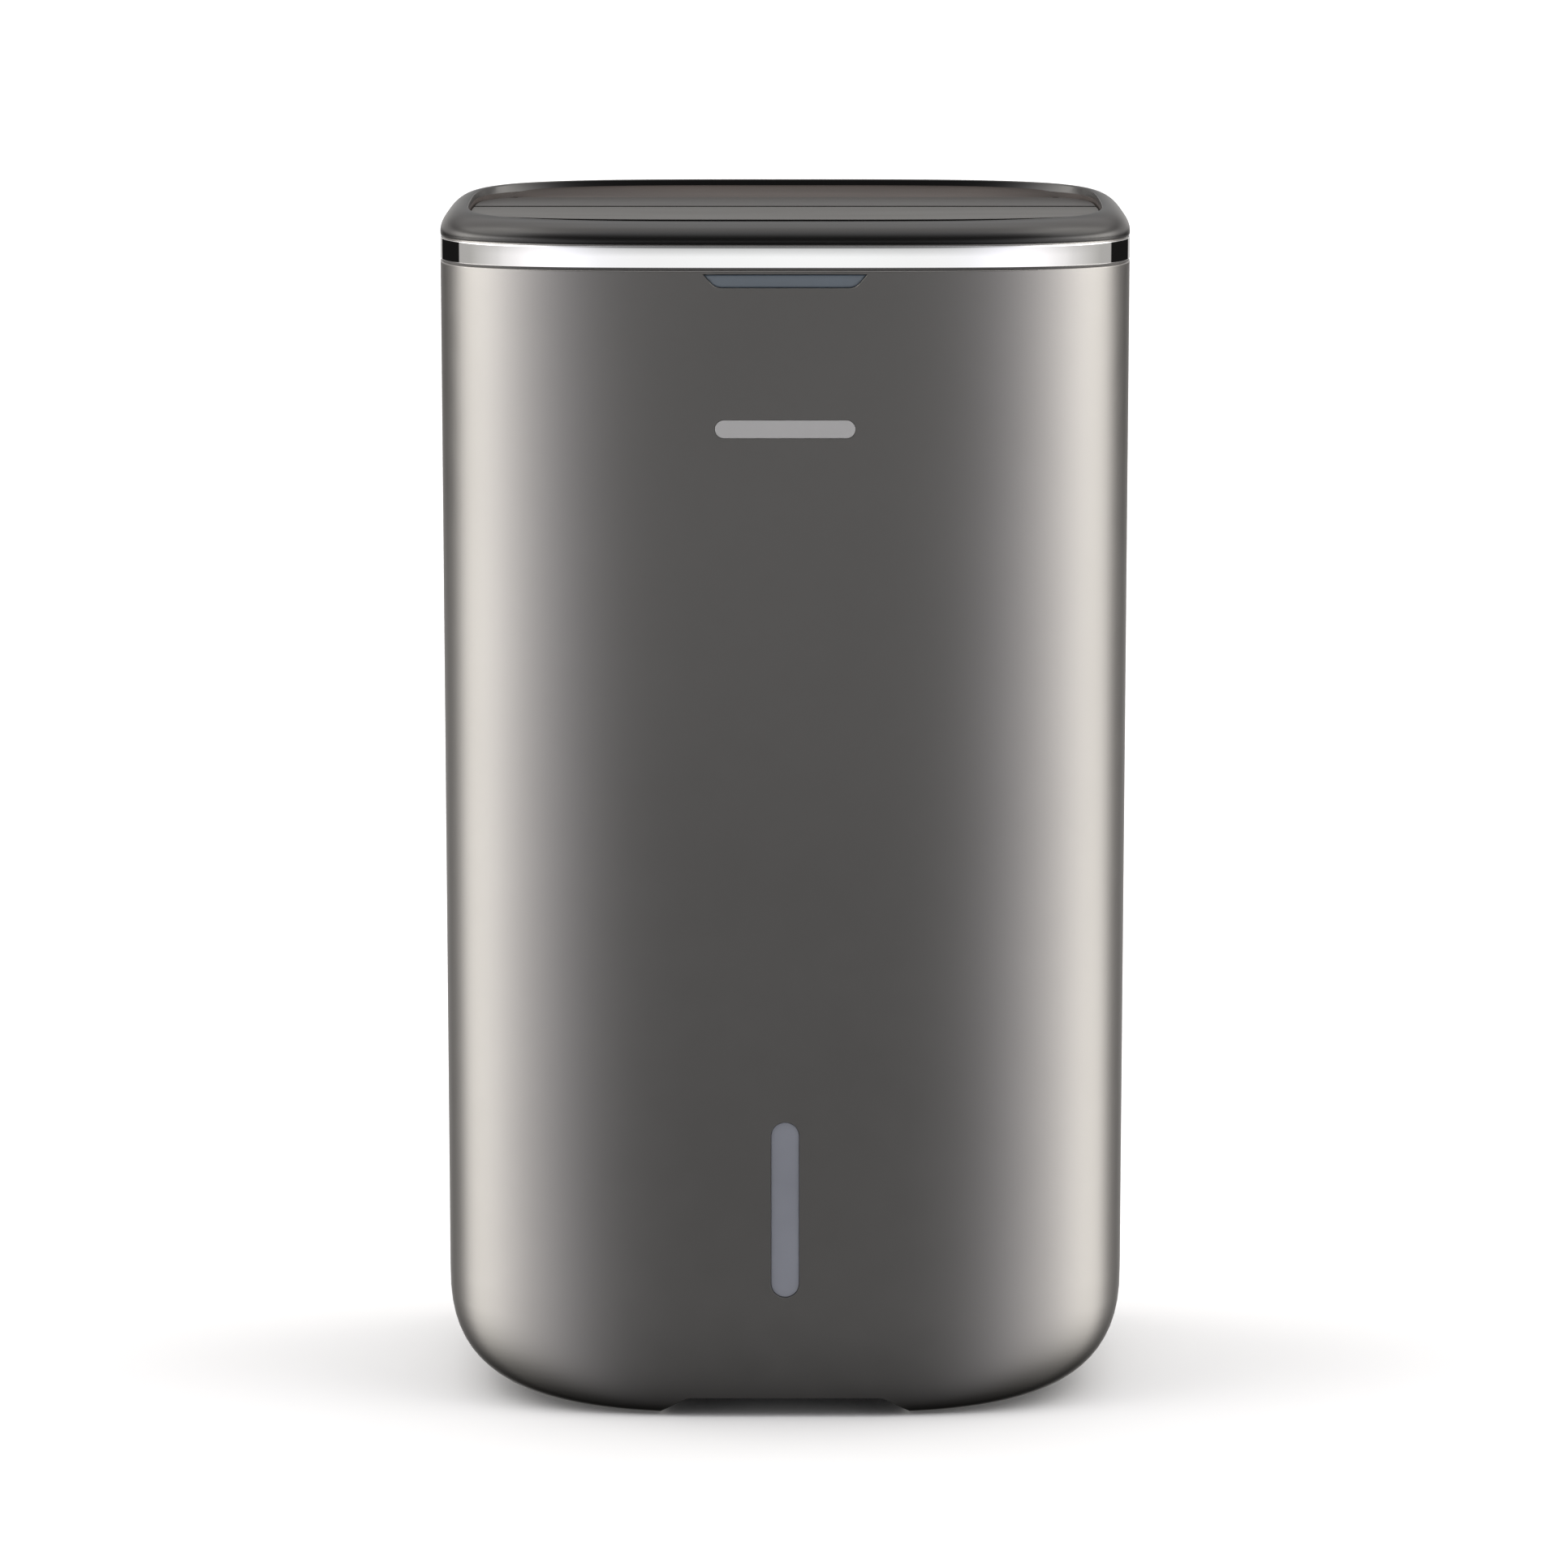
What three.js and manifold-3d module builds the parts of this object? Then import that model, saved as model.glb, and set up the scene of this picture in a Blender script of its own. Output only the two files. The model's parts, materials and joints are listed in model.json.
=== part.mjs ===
// A free-standing compressor dehumidifier, built as an assembly of separate solids.
// Millimetres, +Z up, front towards -Y, origin on the floor under the middle of the case.
import * as THREE from "three";
import { mergeVertices } from "three/addons/utils/BufferGeometryUtils.js";
import Module from "manifold-3d";

const wasm = await Module();
wasm.setup();

// ---------- driving dimensions ----------
const HALF_W = 165; // half the case's width
const HALF_D = 115; // half the case's depth
const PLAN_POWER = 3.8; // exponent of the superellipse seen from above
const PLAN_POWER_FOOT = 4.2; // the same at the very bottom
const PLAN_POINTS = 40;
const WALL = 2.5;
const GAP = 0.3; // running gap between separate pieces

const CASE_Z0 = 1.2; // underside of the painted case
const CASE_Z1 = 549.2; // its top edge
const FOOT_RISE = 56; // height of the rounding at the bottom
const FOOT_IN_X = 66; // how far the rounding pulls the sides in
const FOOT_IN_Y = 8; // and the front and back
const FOOT_POWER = 2.7;
const SPLIT_Y = 62; // seam between front shell and rear cover

const BAND = { z0: 550.2, z1: 560.4, chamfer: 0.8, wall: 3 };

const LID_Z0 = 561;
const RIM_IN = 12.5; // from the outside to the crest of the lid's rim
const CREST_FRONT = 570.8; // the rim rises from front to back
const CREST_BACK = 580.2;
const LIP = { a: 150.8, front: 100.8, back: 97 }; // opening inside the rim
const PANEL = { a: 150.2, b: 100.2, z0: 568.9, z1: 571.8 };
const FLAP = { a: 150.2, b: 96.4, z0: 569.6, z1: 572.4, y0: 0.6, half: 132.4 };
const FLOOR = { z0: 563, z1: 565 }; // dish floor under the flap
const MOUTH = { x: 112, y0: 8, y1: 80, z0: 538 }; // air outlet through the dish
const PIVOT = { y: 72, z: 569.4, rod: 1.5, eye: 3 }; // flap hinge, along its rear edge
const RAMP_Y = 75.6; // the fixed ramp behind the flap rises from here to the rim
const GEAR = { module: 1, sector: 18, pinion: 12, x0: 118.4, x1: 122.4 };
const PINION_Z = PIVOT.z - (GEAR.module * (GEAR.sector + GEAR.pinion)) / 2;

const WINDOW = { half: 6.8, z0: 59.7, z1: 145.3 }; // water level window
const LAMP = { top: 38.2, bottom: 32.5, z0: 541.1, z1: 547.4 }; // light strip
const BADGE = { half: 33, z0: 471, z1: 480, deep: 0.9 };
const ARCH = { low: 60, high: 47, z: 9.4 }; // gap under the front edge

const DECK = { z0: 168, z1: 171 };
const BAY = { floor0: 14.5, floor1: 17, wall0: 133, wall1: 135.5 };
const TANK = { x: 124, a: 153, b: 104, y1: 92, z0: 19.5, z1: 150, wall: 2.2 };
const TANK_DOOR = { x: 127.3, z0: 18.9, z1: 165.3 };
const FASCIA = { x: 126.5, z0: 19.7, z1: 164.5, y0: 92.4, wall: 3 };
const HANDLE = { x: 58, y: 106, z: 142, arm: 34, pin: 2.4 };
const FLOAT = { x: 80, y: 70, z: 143 };

const INTAKE = { x: 112, z0: 205, z1: 470 };
const COIL = { x: 104, z0: 178, z1: 462, passes: 6, tube: 3.6 };
const EVAPORATOR = { y0: 64, y1: 82 };
const CONDENSER = { y0: 38, y1: 58 };

const FAN = { x: 0, z: 410, radius: 78, y0: -24, y1: 18, blades: 18 };
const VOLUTE = { r0: 86, grow: 24, y0: -31, y1: 25, top: 92, wall: 2.5 };

const COMPRESSOR = { x: -62, y: -50, r: 45, z0: 181.8, z1: 305 };
const SCREW_X = 128;
const SCREW_ZS = [186, 500];
const DRAIN = { x: -70, z: 186 };
const CORD_INLET = { x: 70, z: 186 };

// ---------- materials ----------
const finish = (color, roughness, metalness = 0) =>
  new THREE.MeshStandardMaterial({ color, roughness, metalness });
const paint = finish(0x8b8681, 0.38, 0.8);
const chrome = finish(0xe8e9ea, 0.06, 1);
const darkLid = finish(0x4a4746, 0.3, 0.5);
const panelGrey = finish(0x7b7875, 0.34, 0.4);
const rearPlastic = finish(0x4d4a48, 0.55);
const blackPlastic = finish(0x222222, 0.6);
const frameGrey = finish(0x8d9094, 0.6);
const smokedLens = finish(0x6c7583, 0.2);
const clearTank = finish(0x9fb0bd, 0.2);
const meshGrey = finish(0x3a3d40, 0.8);
const rubber = finish(0x1c1c1c, 0.9);
const copper = finish(0xb87340, 0.3, 1);
const aluminium = finish(0xc4c8cc, 0.35, 1);
const steelBlack = finish(0x202224, 0.45, 0.3);
const zinc = finish(0xb5b8bb, 0.35, 1);
const board = finish(0x1f6b45, 0.5);
const foam = finish(0xe8e6de, 0.9);

// ---------- solids ----------
// A three.js geometry as a manifold solid, faces out.
function solid(geometry) {
  const bare = geometry.index ? geometry.toNonIndexed() : geometry.clone();
  for (const name of Object.keys(bare.attributes)) {
    if (name !== "position") bare.deleteAttribute(name);
  }
  const merged = mergeVertices(bare, 1e-4);
  const vertProperties = merged.attributes.position.array;
  const triVerts = new Uint32Array(merged.index.array);
  const made = new wasm.Manifold(
    new wasm.Mesh({ numProp: 3, vertProperties, triVerts }),
  );
  if (made.volume() >= 0) return made;
  for (let i = 0; i < triVerts.length; i += 3) {
    [triVerts[i + 1], triVerts[i + 2]] = [triVerts[i + 2], triVerts[i + 1]];
  }
  return new wasm.Manifold(
    new wasm.Mesh({ numProp: 3, vertProperties, triVerts }),
  );
}

const join = (first, ...others) => others.reduce((s, o) => s.add(o), first);
const cut = (first, ...others) => others.reduce((s, o) => s.subtract(o), first);

function box(x0, x1, y0, y1, z0, z1) {
  const made = new THREE.BoxGeometry(x1 - x0, y1 - y0, z1 - z0);
  return solid(
    made.translate((x0 + x1) / 2, (y0 + y1) / 2, (z0 + z1) / 2),
  );
}

// A round bar between two points on one axis direction.
function rod(axis, from, to, at, radius, sides = 20) {
  const made = new THREE.CylinderGeometry(radius, radius, to - from, sides);
  if (axis === "x") made.rotateZ(Math.PI / 2);
  if (axis === "z") made.rotateX(Math.PI / 2);
  const middle = (from + to) / 2;
  if (axis === "x") made.translate(middle, at[0], at[1]);
  if (axis === "y") made.translate(at[0], middle, at[1]);
  if (axis === "z") made.translate(at[0], at[1], middle);
  return solid(made);
}

// A flat outline [[u, v], ...] pushed along an axis: y takes (x, z), x takes (y, z), z takes (x, y).
function prism(axis, outline, from, to) {
  const shape = new THREE.Shape(outline.map(([u, v]) => new THREE.Vector2(u, v)));
  const made = new THREE.ExtrudeGeometry(shape, {
    depth: to - from,
    bevelEnabled: false,
  });
  const basis = new THREE.Matrix4();
  const [x, y, z] = [
    new THREE.Vector3(1, 0, 0),
    new THREE.Vector3(0, 1, 0),
    new THREE.Vector3(0, 0, 1),
  ];
  if (axis === "y") basis.makeBasis(x, z, y);
  if (axis === "x") basis.makeBasis(y, z, x);
  if (axis === "z") basis.makeBasis(x, y, z);
  made.applyMatrix4(basis);
  const along = { x: [from, 0, 0], y: [0, from, 0], z: [0, 0, from] }[axis];
  return solid(made.translate(...along));
}

// A surface through closed loops with as many points each, capped or closed on itself as a ring.
function loft(loops, ring = false) {
  const count = loops[0].length;
  const points = loops.flat();
  const index = [];
  const spans = ring ? loops.length : loops.length - 1;
  for (let i = 0; i < spans; i++) {
    const here = i * count;
    const next = ((i + 1) % loops.length) * count;
    for (let k = 0; k < count; k++) {
      const k1 = (k + 1) % count;
      index.push(here + k, here + k1, next + k1);
      index.push(here + k, next + k1, next + k);
    }
  }
  if (!ring) {
    for (const [first, flip] of [
      [0, true],
      [(loops.length - 1) * count, false],
    ]) {
      const centre = new THREE.Vector3();
      for (let k = 0; k < count; k++) centre.add(points[first + k]);
      const middle = points.push(centre.divideScalar(count)) - 1;
      for (let k = 0; k < count; k++) {
        const [a, b] = [first + k, first + ((k + 1) % count)];
        index.push(middle, flip ? b : a, flip ? a : b);
      }
    }
  }
  const made = new THREE.BufferGeometry().setFromPoints(points);
  made.setIndex(index);
  return solid(made);
}

// A tube of round section through a list of points.
function pipe(path, radius, sides = 7) {
  const loops = path.map((point, i) => {
    const before = path[Math.max(i - 1, 0)];
    const after = path[Math.min(i + 1, path.length - 1)];
    return { point, along: after.clone().sub(before).normalize() };
  });
  let side = new THREE.Vector3(0.31, 0.87, 0.38);
  return loft(
    loops.map(({ point, along }) => {
      side = side.clone().addScaledVector(along, -side.dot(along)).normalize();
      const other = along.clone().cross(side);
      return Array.from({ length: sides }, (_, k) => {
        const turn = (2 * Math.PI * k) / sides;
        return point
          .clone()
          .addScaledVector(side, radius * Math.cos(turn))
          .addScaledVector(other, radius * Math.sin(turn));
      });
    }),
  );
}

// A smooth curve through hand-placed points, sampled into steps.
const smooth = (points, steps) =>
  new THREE.CatmullRomCurve3(
    points.map((p) => new THREE.Vector3(...p)),
    false,
    "centripetal",
  ).getSpacedPoints(steps);

// ---------- the case's outline ----------
// z may be a number or a function of y.
function oval(a, front, back, z, power = PLAN_POWER) {
  return Array.from({ length: PLAN_POINTS }, (_, k) => {
    const turn = (2 * Math.PI * k) / PLAN_POINTS;
    const [c, s] = [Math.cos(turn), Math.sin(turn)];
    const x = a * Math.sign(c) * Math.abs(c) ** (2 / power);
    const b = s < 0 ? front : back;
    const y = b * Math.sign(s) * Math.abs(s) ** (2 / power);
    return new THREE.Vector3(x, y, typeof z === "function" ? z(y) : z);
  });
}

// An upright solid of the oval plan.
const column = (a, b, z0, z1) =>
  loft([oval(a, b, b, z0), oval(a, b, b, z1)]);

// The painted case's solid, shrunk by inset and raised by lift, for walls of even thickness.
function caseColumn(inset, lift, top) {
  const steps = 5;
  const loops = [];
  for (let i = 0; i <= steps; i++) {
    const turn = (Math.PI / 2) * (i / steps);
    const up = 1 - Math.cos(turn) ** (2 / FOOT_POWER);
    const pull = 1 - Math.sin(turn) ** (2 / FOOT_POWER);
    const a = HALF_W - FOOT_IN_X * pull - inset;
    const b = HALF_D - FOOT_IN_Y * pull - inset;
    const power = PLAN_POWER + (PLAN_POWER_FOOT - PLAN_POWER) * pull;
    loops.push(oval(a, b, b, CASE_Z0 + FOOT_RISE * up + lift, power));
  }
  loops.push(oval(HALF_W - inset, HALF_D - inset, HALF_D - inset, top));
  return loft(loops);
}

// An upright pill outline in (x, z), for slots and lenses on the front.
function pill(halfWidth, z0, z1, points = 8) {
  const outline = [];
  for (const [z, start] of [
    [z1 - halfWidth, 0],
    [z0 + halfWidth, Math.PI],
  ]) {
    for (let i = 0; i <= points; i++) {
      const turn = start + (Math.PI * i) / points;
      outline.push([halfWidth * Math.cos(turn), z + halfWidth * Math.sin(turn)]);
    }
  }
  return outline;
}

// The same pill lying along x.
const lyingPill = (half, z0, z1) =>
  pill((z1 - z0) / 2, -half, half).map(([u, v]) => [v, (z0 + z1) / 2 - u]);

const big = 400; // longer than the case, for cutters

// ---------- painted front shell and rear cover ----------
const archOutline = (raise, widen = 0) => [
  [-ARCH.low - widen, -5],
  [ARCH.low + widen, -5],
  [ARCH.low + widen, CASE_Z0 + 0.6],
  [ARCH.high + widen, ARCH.z + raise],
  [-ARCH.high - widen, ARCH.z + raise],
  [-ARCH.low - widen, CASE_Z0 + 0.6],
];
const footPlaces = [-1, 1].flatMap((i) => [-1, 1].map((j) => [80 * i, 78 * j]));
const footHoles = footPlaces.map(([x, y]) => rod("z", -1, 5, [x, y], 3.4, 12));

const caseWall = cut(
  caseColumn(0, 0, CASE_Z1),
  caseColumn(WALL, WALL, CASE_Z1 + 5),
  prism("y", archOutline(0), -big, big),
  ...footHoles,
);

const lampOutline = (grow) => [
  [-LAMP.bottom - grow, LAMP.z0 - grow],
  [LAMP.bottom + grow, LAMP.z0 - grow],
  [LAMP.top + grow, LAMP.z1 + grow],
  [-LAMP.top - grow, LAMP.z1 + grow],
];

function makeFrontShell() {
  return cut(
    caseWall,
    box(-big, big, SPLIT_Y - GAP / 2, big, -10, 600),
    prism("y", pill(WINDOW.half, WINDOW.z0, WINDOW.z1), -130, -100),
    prism("y", lampOutline(0), -130, -100),
    prism("y", lyingPill(BADGE.half, BADGE.z0, BADGE.z1), -130, -HALF_D + BADGE.deep + 0.2),
  );
}

const GRIP = { x: 58, z0: 494, z1: 524, y0: 88, wall: 2 };

function makeRearCover() {
  const outside = caseColumn(0, 0, CASE_Z1);
  const pocket = box(
    -GRIP.x - GRIP.wall,
    GRIP.x + GRIP.wall,
    GRIP.y0 - GRIP.wall,
    big,
    GRIP.z0 - GRIP.wall,
    GRIP.z1 + GRIP.wall,
  );
  const bosses = [];
  const screwHoles = [];
  for (const z of SCREW_ZS) {
    for (const x of [-SCREW_X, SCREW_X]) {
      bosses.push(rod("y", 92.6, 110, [x, z], 6.5, 12).intersect(outside));
      screwHoles.push(rod("y", 80, 120, [x, z], 1.9, 12));
      screwHoles.push(rod("y", 96, 120, [x, z], 4.5, 14));
    }
  }
  const shell = cut(caseWall, box(-big, big, -big, SPLIT_Y + GAP / 2, -10, 600));
  return cut(
    join(shell, pocket.intersect(outside), ...bosses),
    box(-GRIP.x, GRIP.x, GRIP.y0, big, GRIP.z0, GRIP.z1),
    box(-INTAKE.x, INTAKE.x, 80, big, INTAKE.z0, INTAKE.z1),
    box(-TANK_DOOR.x, TANK_DOOR.x, 70, big, TANK_DOOR.z0, TANK_DOOR.z1),
    rod("y", 90, 120, [DRAIN.x, DRAIN.z], 12, 20),
    rod("y", 90, 120, [CORD_INLET.x, CORD_INLET.z], 8.3, 16),
    ...screwHoles,
  );
}

function makeBand() {
  const at = (inset, z) =>
    oval(HALF_W - inset, HALF_D - inset, HALF_D - inset, z);
  return loft(
    [
      at(BAND.chamfer, BAND.z0),
      at(0, BAND.z0 + BAND.chamfer),
      at(0, BAND.z1 - BAND.chamfer),
      at(BAND.chamfer, BAND.z1),
      at(BAND.wall, BAND.z1),
      at(BAND.wall, BAND.z0),
    ],
    true,
  );
}

// ---------- top cover ----------
const crest = (y) =>
  CREST_FRONT + ((CREST_BACK - CREST_FRONT) * (y + HALF_D)) / (2 * HALF_D);

// The rim is a hollow moulding: outside edge, round to the crest, down into the dish, and back inside.
function makeRim() {
  const at = (inset, z) =>
    oval(HALF_W - inset, HALF_D - inset, HALF_D - inset, z);
  const rails = [at(0.8, LID_Z0), at(0, LID_Z0 + 0.9)];
  const shoulder = LID_Z0 + 1.8;
  const steps = 3;
  for (let i = 0; i <= steps; i++) {
    const turn = (Math.PI / 2) * (i / steps);
    const rise = Math.sin(turn);
    rails.push(
      at(RIM_IN * (1 - Math.cos(turn)), (y) => shoulder + (crest(y) - shoulder) * rise),
    );
  }
  const inside = FLOOR.z0 + 0.5;
  rails.push(oval(151.4, 101.4, 99.6, (y) => (crest(y) + 2 * 571.2) / 3));
  rails.push(oval(LIP.a, LIP.front, LIP.back, 570.6));
  rails.push(oval(LIP.a, LIP.front, LIP.back, inside));
  rails.push(oval(LIP.a + 2.2, LIP.front + 2.2, LIP.back + 2.4, inside));
  rails.push(oval(LIP.a + 2.2, LIP.front + 2.2, LIP.back + 2.6, 568.2));
  const skin = 2.3;
  for (let i = 2; i >= 0; i--) {
    const turn = (Math.PI / 4) * i;
    const rise = Math.sin(turn);
    const inset = skin + (RIM_IN - 2 - skin) * (1 - Math.cos(turn));
    rails.push(at(inset, (y) => shoulder + (crest(y) - skin - shoulder) * rise));
  }
  rails.push(at(skin, LID_Z0));
  return loft(rails, true);
}

function makeTopCover() {
  const ledge = cut(
    column(LIP.a + 2, LIP.front + 2, 566.2, 568.6),
    column(LIP.a - 7, LIP.front - 7, 560, 575),
    box(-big, big, 0, big, 550, 580),
  );
  const ramp = prism(
    "x",
    [
      [RAMP_Y, FLAP.z0 + 0.4],
      [RAMP_Y, FLAP.z1 - 0.2],
      [84, 572.8],
      [93, 574.8],
      [100.5, 578.6],
      [100.5, FLAP.z0 + 0.4],
    ],
    -150,
    150,
  ).intersect(column(151.2, 101.2, 560, 590));
  return cut(
    join(makeRim(), ledge, ramp),
    rod("x", -143, 143, [PIVOT.y, PIVOT.z], PIVOT.rod + 0.25, 12),
  );
}

// The floor under the flap, inside the rim, with the outlet's walls hanging from it.
function makeOutletTray() {
  const floor = cut(
    column(LIP.a - GAP, LIP.back - GAP, FLOOR.z0, FLOOR.z1),
    box(-big, big, -big, -5, 550, 580),
  );
  const skirt = box(
    -MOUTH.x - 2,
    MOUTH.x + 2,
    MOUTH.y0 - 2,
    MOUTH.y1 + 2,
    MOUTH.z0,
    FLOOR.z1,
  );
  const crossWall = box(-143.3, 143.3, -5, -2, FLOOR.z0, 568.6);
  return cut(
    join(floor, skirt, crossWall),
    box(-MOUTH.x, MOUTH.x, MOUTH.y0, MOUTH.y1, 530, FLOOR.z1 + 1),
    box(GEAR.x0 - 1, GEAR.x1 + 1, 60, 84, FLOOR.z0 - 1, FLOOR.z1 + 1),
  );
}

function makeControlPanel() {
  return cut(
    column(PANEL.a, PANEL.b, PANEL.z0, PANEL.z1),
    box(-big, big, -GAP, big, 560, 580),
  );
}

// The plate ends at its rear edge in a round knuckle, with a toothed sector under its right end.
function makeFlap() {
  const plate = cut(
    column(FLAP.a, FLAP.b, FLAP.z0, FLAP.z1),
    box(-big, big, -big, FLAP.y0, 560, 580),
    box(-big, big, PIVOT.y, big, 560, 580),
  );
  const knuckle = rod("x", -FLAP.half, FLAP.half, [PIVOT.y, PIVOT.z], PIVOT.eye, 20);
  const ribs = [-90, -45, 0, 45, 90].map((x) =>
    box(x - 1, x + 1, 12, PIVOT.y, 567.4, FLAP.z0 + 1),
  );
  const besideKnuckle = [-1, 1].map((side) => {
    const [x0, x1] = [side * FLAP.half, side * 160].sort((p, q) => p - q);
    return box(x0, x1, PIVOT.y - 3.4, PIVOT.y + 5, 560, 580);
  });
  return cut(
    join(plate, knuckle, ...ribs, makeSector()),
    rod("x", -FLAP.half - 1, FLAP.half + 1, [PIVOT.y, PIVOT.z], PIVOT.rod + 0.25, 12),
    ...besideKnuckle,
  );
}

// Straight-flanked gear teeth at [angle, ...], on a disc about the x axis.
function toothed(pitchRadius, angles, x0, x1, centre) {
  const { module } = GEAR;
  const root = pitchRadius - 1.25 * module;
  const teeth = angles.map((turn) => {
    const outline = [
      [root - 0.6, 0.95],
      [pitchRadius, 0.56],
      [pitchRadius + 0.85 * module, 0.26],
    ];
    const flank = [...outline, ...outline.map(([r, w]) => [r, -w]).reverse()];
    const placed = flank.map(([r, w]) => [
      centre[0] + r * Math.cos(turn) - w * Math.sin(turn),
      centre[1] + r * Math.sin(turn) + w * Math.cos(turn),
    ]);
    return prism("x", placed, x0, x1);
  });
  return join(rod("x", x0, x1, centre, root, 16), ...teeth);
}

const SECTOR_PITCH = (GEAR.module * GEAR.sector) / 2;
const PINION_PITCH = (GEAR.module * GEAR.pinion) / 2;
const DOWN = -Math.PI / 2;

function makeSector() {
  const pitch = (2 * Math.PI) / GEAR.sector;
  const angles = [-1, 0, 1, 2, 3].map((i) => DOWN + i * pitch);
  const centre = [PIVOT.y, PIVOT.z];
  const wheel = toothed(SECTOR_PITCH, angles, GEAR.x0, GEAR.x1, centre);
  const keep = prism(
    "x",
    [
      [PIVOT.y - 2.5, PIVOT.z + 1.5],
      [PIVOT.y - 6.5, PIVOT.z - 12],
      [PIVOT.y + 12, PIVOT.z - 12],
      [PIVOT.y + 12, PIVOT.z - 2.5],
      [PIVOT.y + 2.9, PIVOT.z - 0.5],
      [PIVOT.y + 1.5, PIVOT.z + 1.5],
    ],
    GEAR.x0 - 1,
    GEAR.x1 + 1,
  );
  return wheel.intersect(keep);
}

function makePinion() {
  const pitch = (2 * Math.PI) / GEAR.pinion;
  const angles = Array.from(
    { length: GEAR.pinion },
    (_, i) => -DOWN + (i + 0.5) * pitch,
  );
  const centre = [PIVOT.y, PINION_Z];
  const wheel = toothed(PINION_PITCH, angles, GEAR.x0 - 0.2, GEAR.x1 + 0.2, centre);
  return join(wheel, rod("x", GEAR.x0 - 1, GEAR.x1 + 5, centre, 1.4, 12));
}

function makeFlapMotor() {
  const centre = [PIVOT.y, PINION_Z];
  const [x0, x1] = [GEAR.x1 + 1.6, GEAR.x1 + 11.6];
  return cut(
    join(
      rod("x", x0, x1, centre, 8, 18),
      box(x0, x0 + 1.5, PIVOT.y - 15, PIVOT.y - 2, PINION_Z - 3, PINION_Z + 3),
    ),
    rod("x", x0 - 5, x0 + 5, centre, 1.7, 12),
  );
}

function makeOutletGrille() {
  const { x, y0, y1 } = MOUTH;
  const edge = 0.4;
  const rim = 3;
  const vane = 1.8;
  const cells = 10;
  const pitch = (2 * (x - rim) + vane) / cells;
  const block = box(-x + edge, x - edge, y0 + edge, y1 - edge, 546, 556);
  const openings = Array.from({ length: cells }, (_, i) => {
    const left = -x + rim + i * pitch;
    return box(left, left + pitch - vane, y0 + rim, y1 - rim, 540, 560);
  });
  return cut(block, ...openings);
}

// ---------- front trim ----------
function makeLamp() {
  const face = caseColumn(1.2, 0, 570);
  const lens = prism("y", lampOutline(-0.25), -130, -HALF_D + 5.5);
  const flange = box(-42, 42, -HALF_D + WALL + 1, -HALF_D + 5.5, 539.2, 548.8);
  return join(lens, flange).intersect(face);
}

function makeWindowLens() {
  const face = caseColumn(1, 0, 570);
  const lens = prism(
    "y",
    pill(WINDOW.half - 0.2, WINDOW.z0 + 0.2, WINDOW.z1 - 0.2),
    -130,
    -HALF_D + 5,
  );
  const flange = prism(
    "y",
    pill(WINDOW.half + 3, WINDOW.z0 - 3, WINDOW.z1 + 3),
    -HALF_D + WALL + GAP,
    -HALF_D + 5,
  );
  return join(lens, flange).intersect(face);
}

function makeBadge() {
  const face = caseColumn(0.05, 0, 570);
  return prism(
    "y",
    lyingPill(BADGE.half - 0.2, BADGE.z0 + 0.2, BADGE.z1 - 0.2),
    -130,
    -HALF_D + BADGE.deep,
  ).intersect(face);
}

// ---------- chassis, base and tank bay ----------
function makeBasePan() {
  const outside = caseColumn(WALL + 0.4, WALL + 0.4, 100).intersect(
    box(-big, big, -big, big, 0, 17),
  );
  const ridge = prism("y", archOutline(2.8, 2), -big, big).intersect(outside);
  return cut(
    join(cut(outside, caseColumn(5.1, 5.4, 100)), ridge),
    prism("y", archOutline(0.4), -big, big),
    ...footHoles,
    ...footPlaces.map(([x, y]) => rod("z", 3, 12, [x, y], 6, 12)),
    box(-TANK_DOOR.x - 4, TANK_DOOR.x + 4, 88, big, 13, 40),
  );
}

function makeChassis() {
  const inside = caseColumn(6, 6, 300);
  const deck = column(HALF_W - 5.5, HALF_D - 5.5, DECK.z0, DECK.z1);
  const walls = [-1, 1].map((side) => {
    const [x0, x1] = [side * BAY.wall0, side * BAY.wall1].sort((p, q) => p - q);
    return box(x0, x1, -72, 86, BAY.floor0, DECK.z0 + 1).intersect(inside);
  });
  const floor = box(
    -BAY.wall1,
    BAY.wall1,
    -100,
    86,
    BAY.floor0,
    BAY.floor1,
  ).intersect(inside);
  const ribs = [-90, -30, 30, 90].map((x) => {
    const foot = Math.abs(x) < 50 ? 12.5 : 7.2;
    return box(x - 1.5, x + 1.5, -70, 70, foot, BAY.floor0 + 1).intersect(inside);
  });
  const posts = [-1, 1].map((side) => {
    const [x0, x1] = [side * 120, side * 136].sort((p, q) => p - q);
    return box(x0, x1, 76, 92, DECK.z0 + 1, 522);
  });
  const screwHoles = SCREW_ZS.flatMap((z) =>
    [-SCREW_X, SCREW_X].map((x) => rod("y", 79, 100, [x, z], 1.75, 10)),
  );
  return cut(
    join(deck, floor, ...walls, ...ribs, ...posts),
    rod("z", 150, 180, [0, 50], 7.2, 16),
    ...screwHoles,
  );
}

// ---------- water tank ----------
function tankColumn(wall, z0, z1) {
  return column(TANK.a - wall, TANK.b - wall, z0, z1).intersect(
    box(-TANK.x + wall, TANK.x - wall, -big, TANK.y1 - wall, z0, z1),
  );
}

function makeTank() {
  const { wall, z0, z1 } = TANK;
  const rim = cut(tankColumn(-1.2, z1 - 5, z1), tankColumn(wall, z1 - 6, z1 + 1));
  return join(
    cut(tankColumn(0, z0, z1), tankColumn(wall, z0 + wall, z1 + 5)),
    rim,
  );
}

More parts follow.
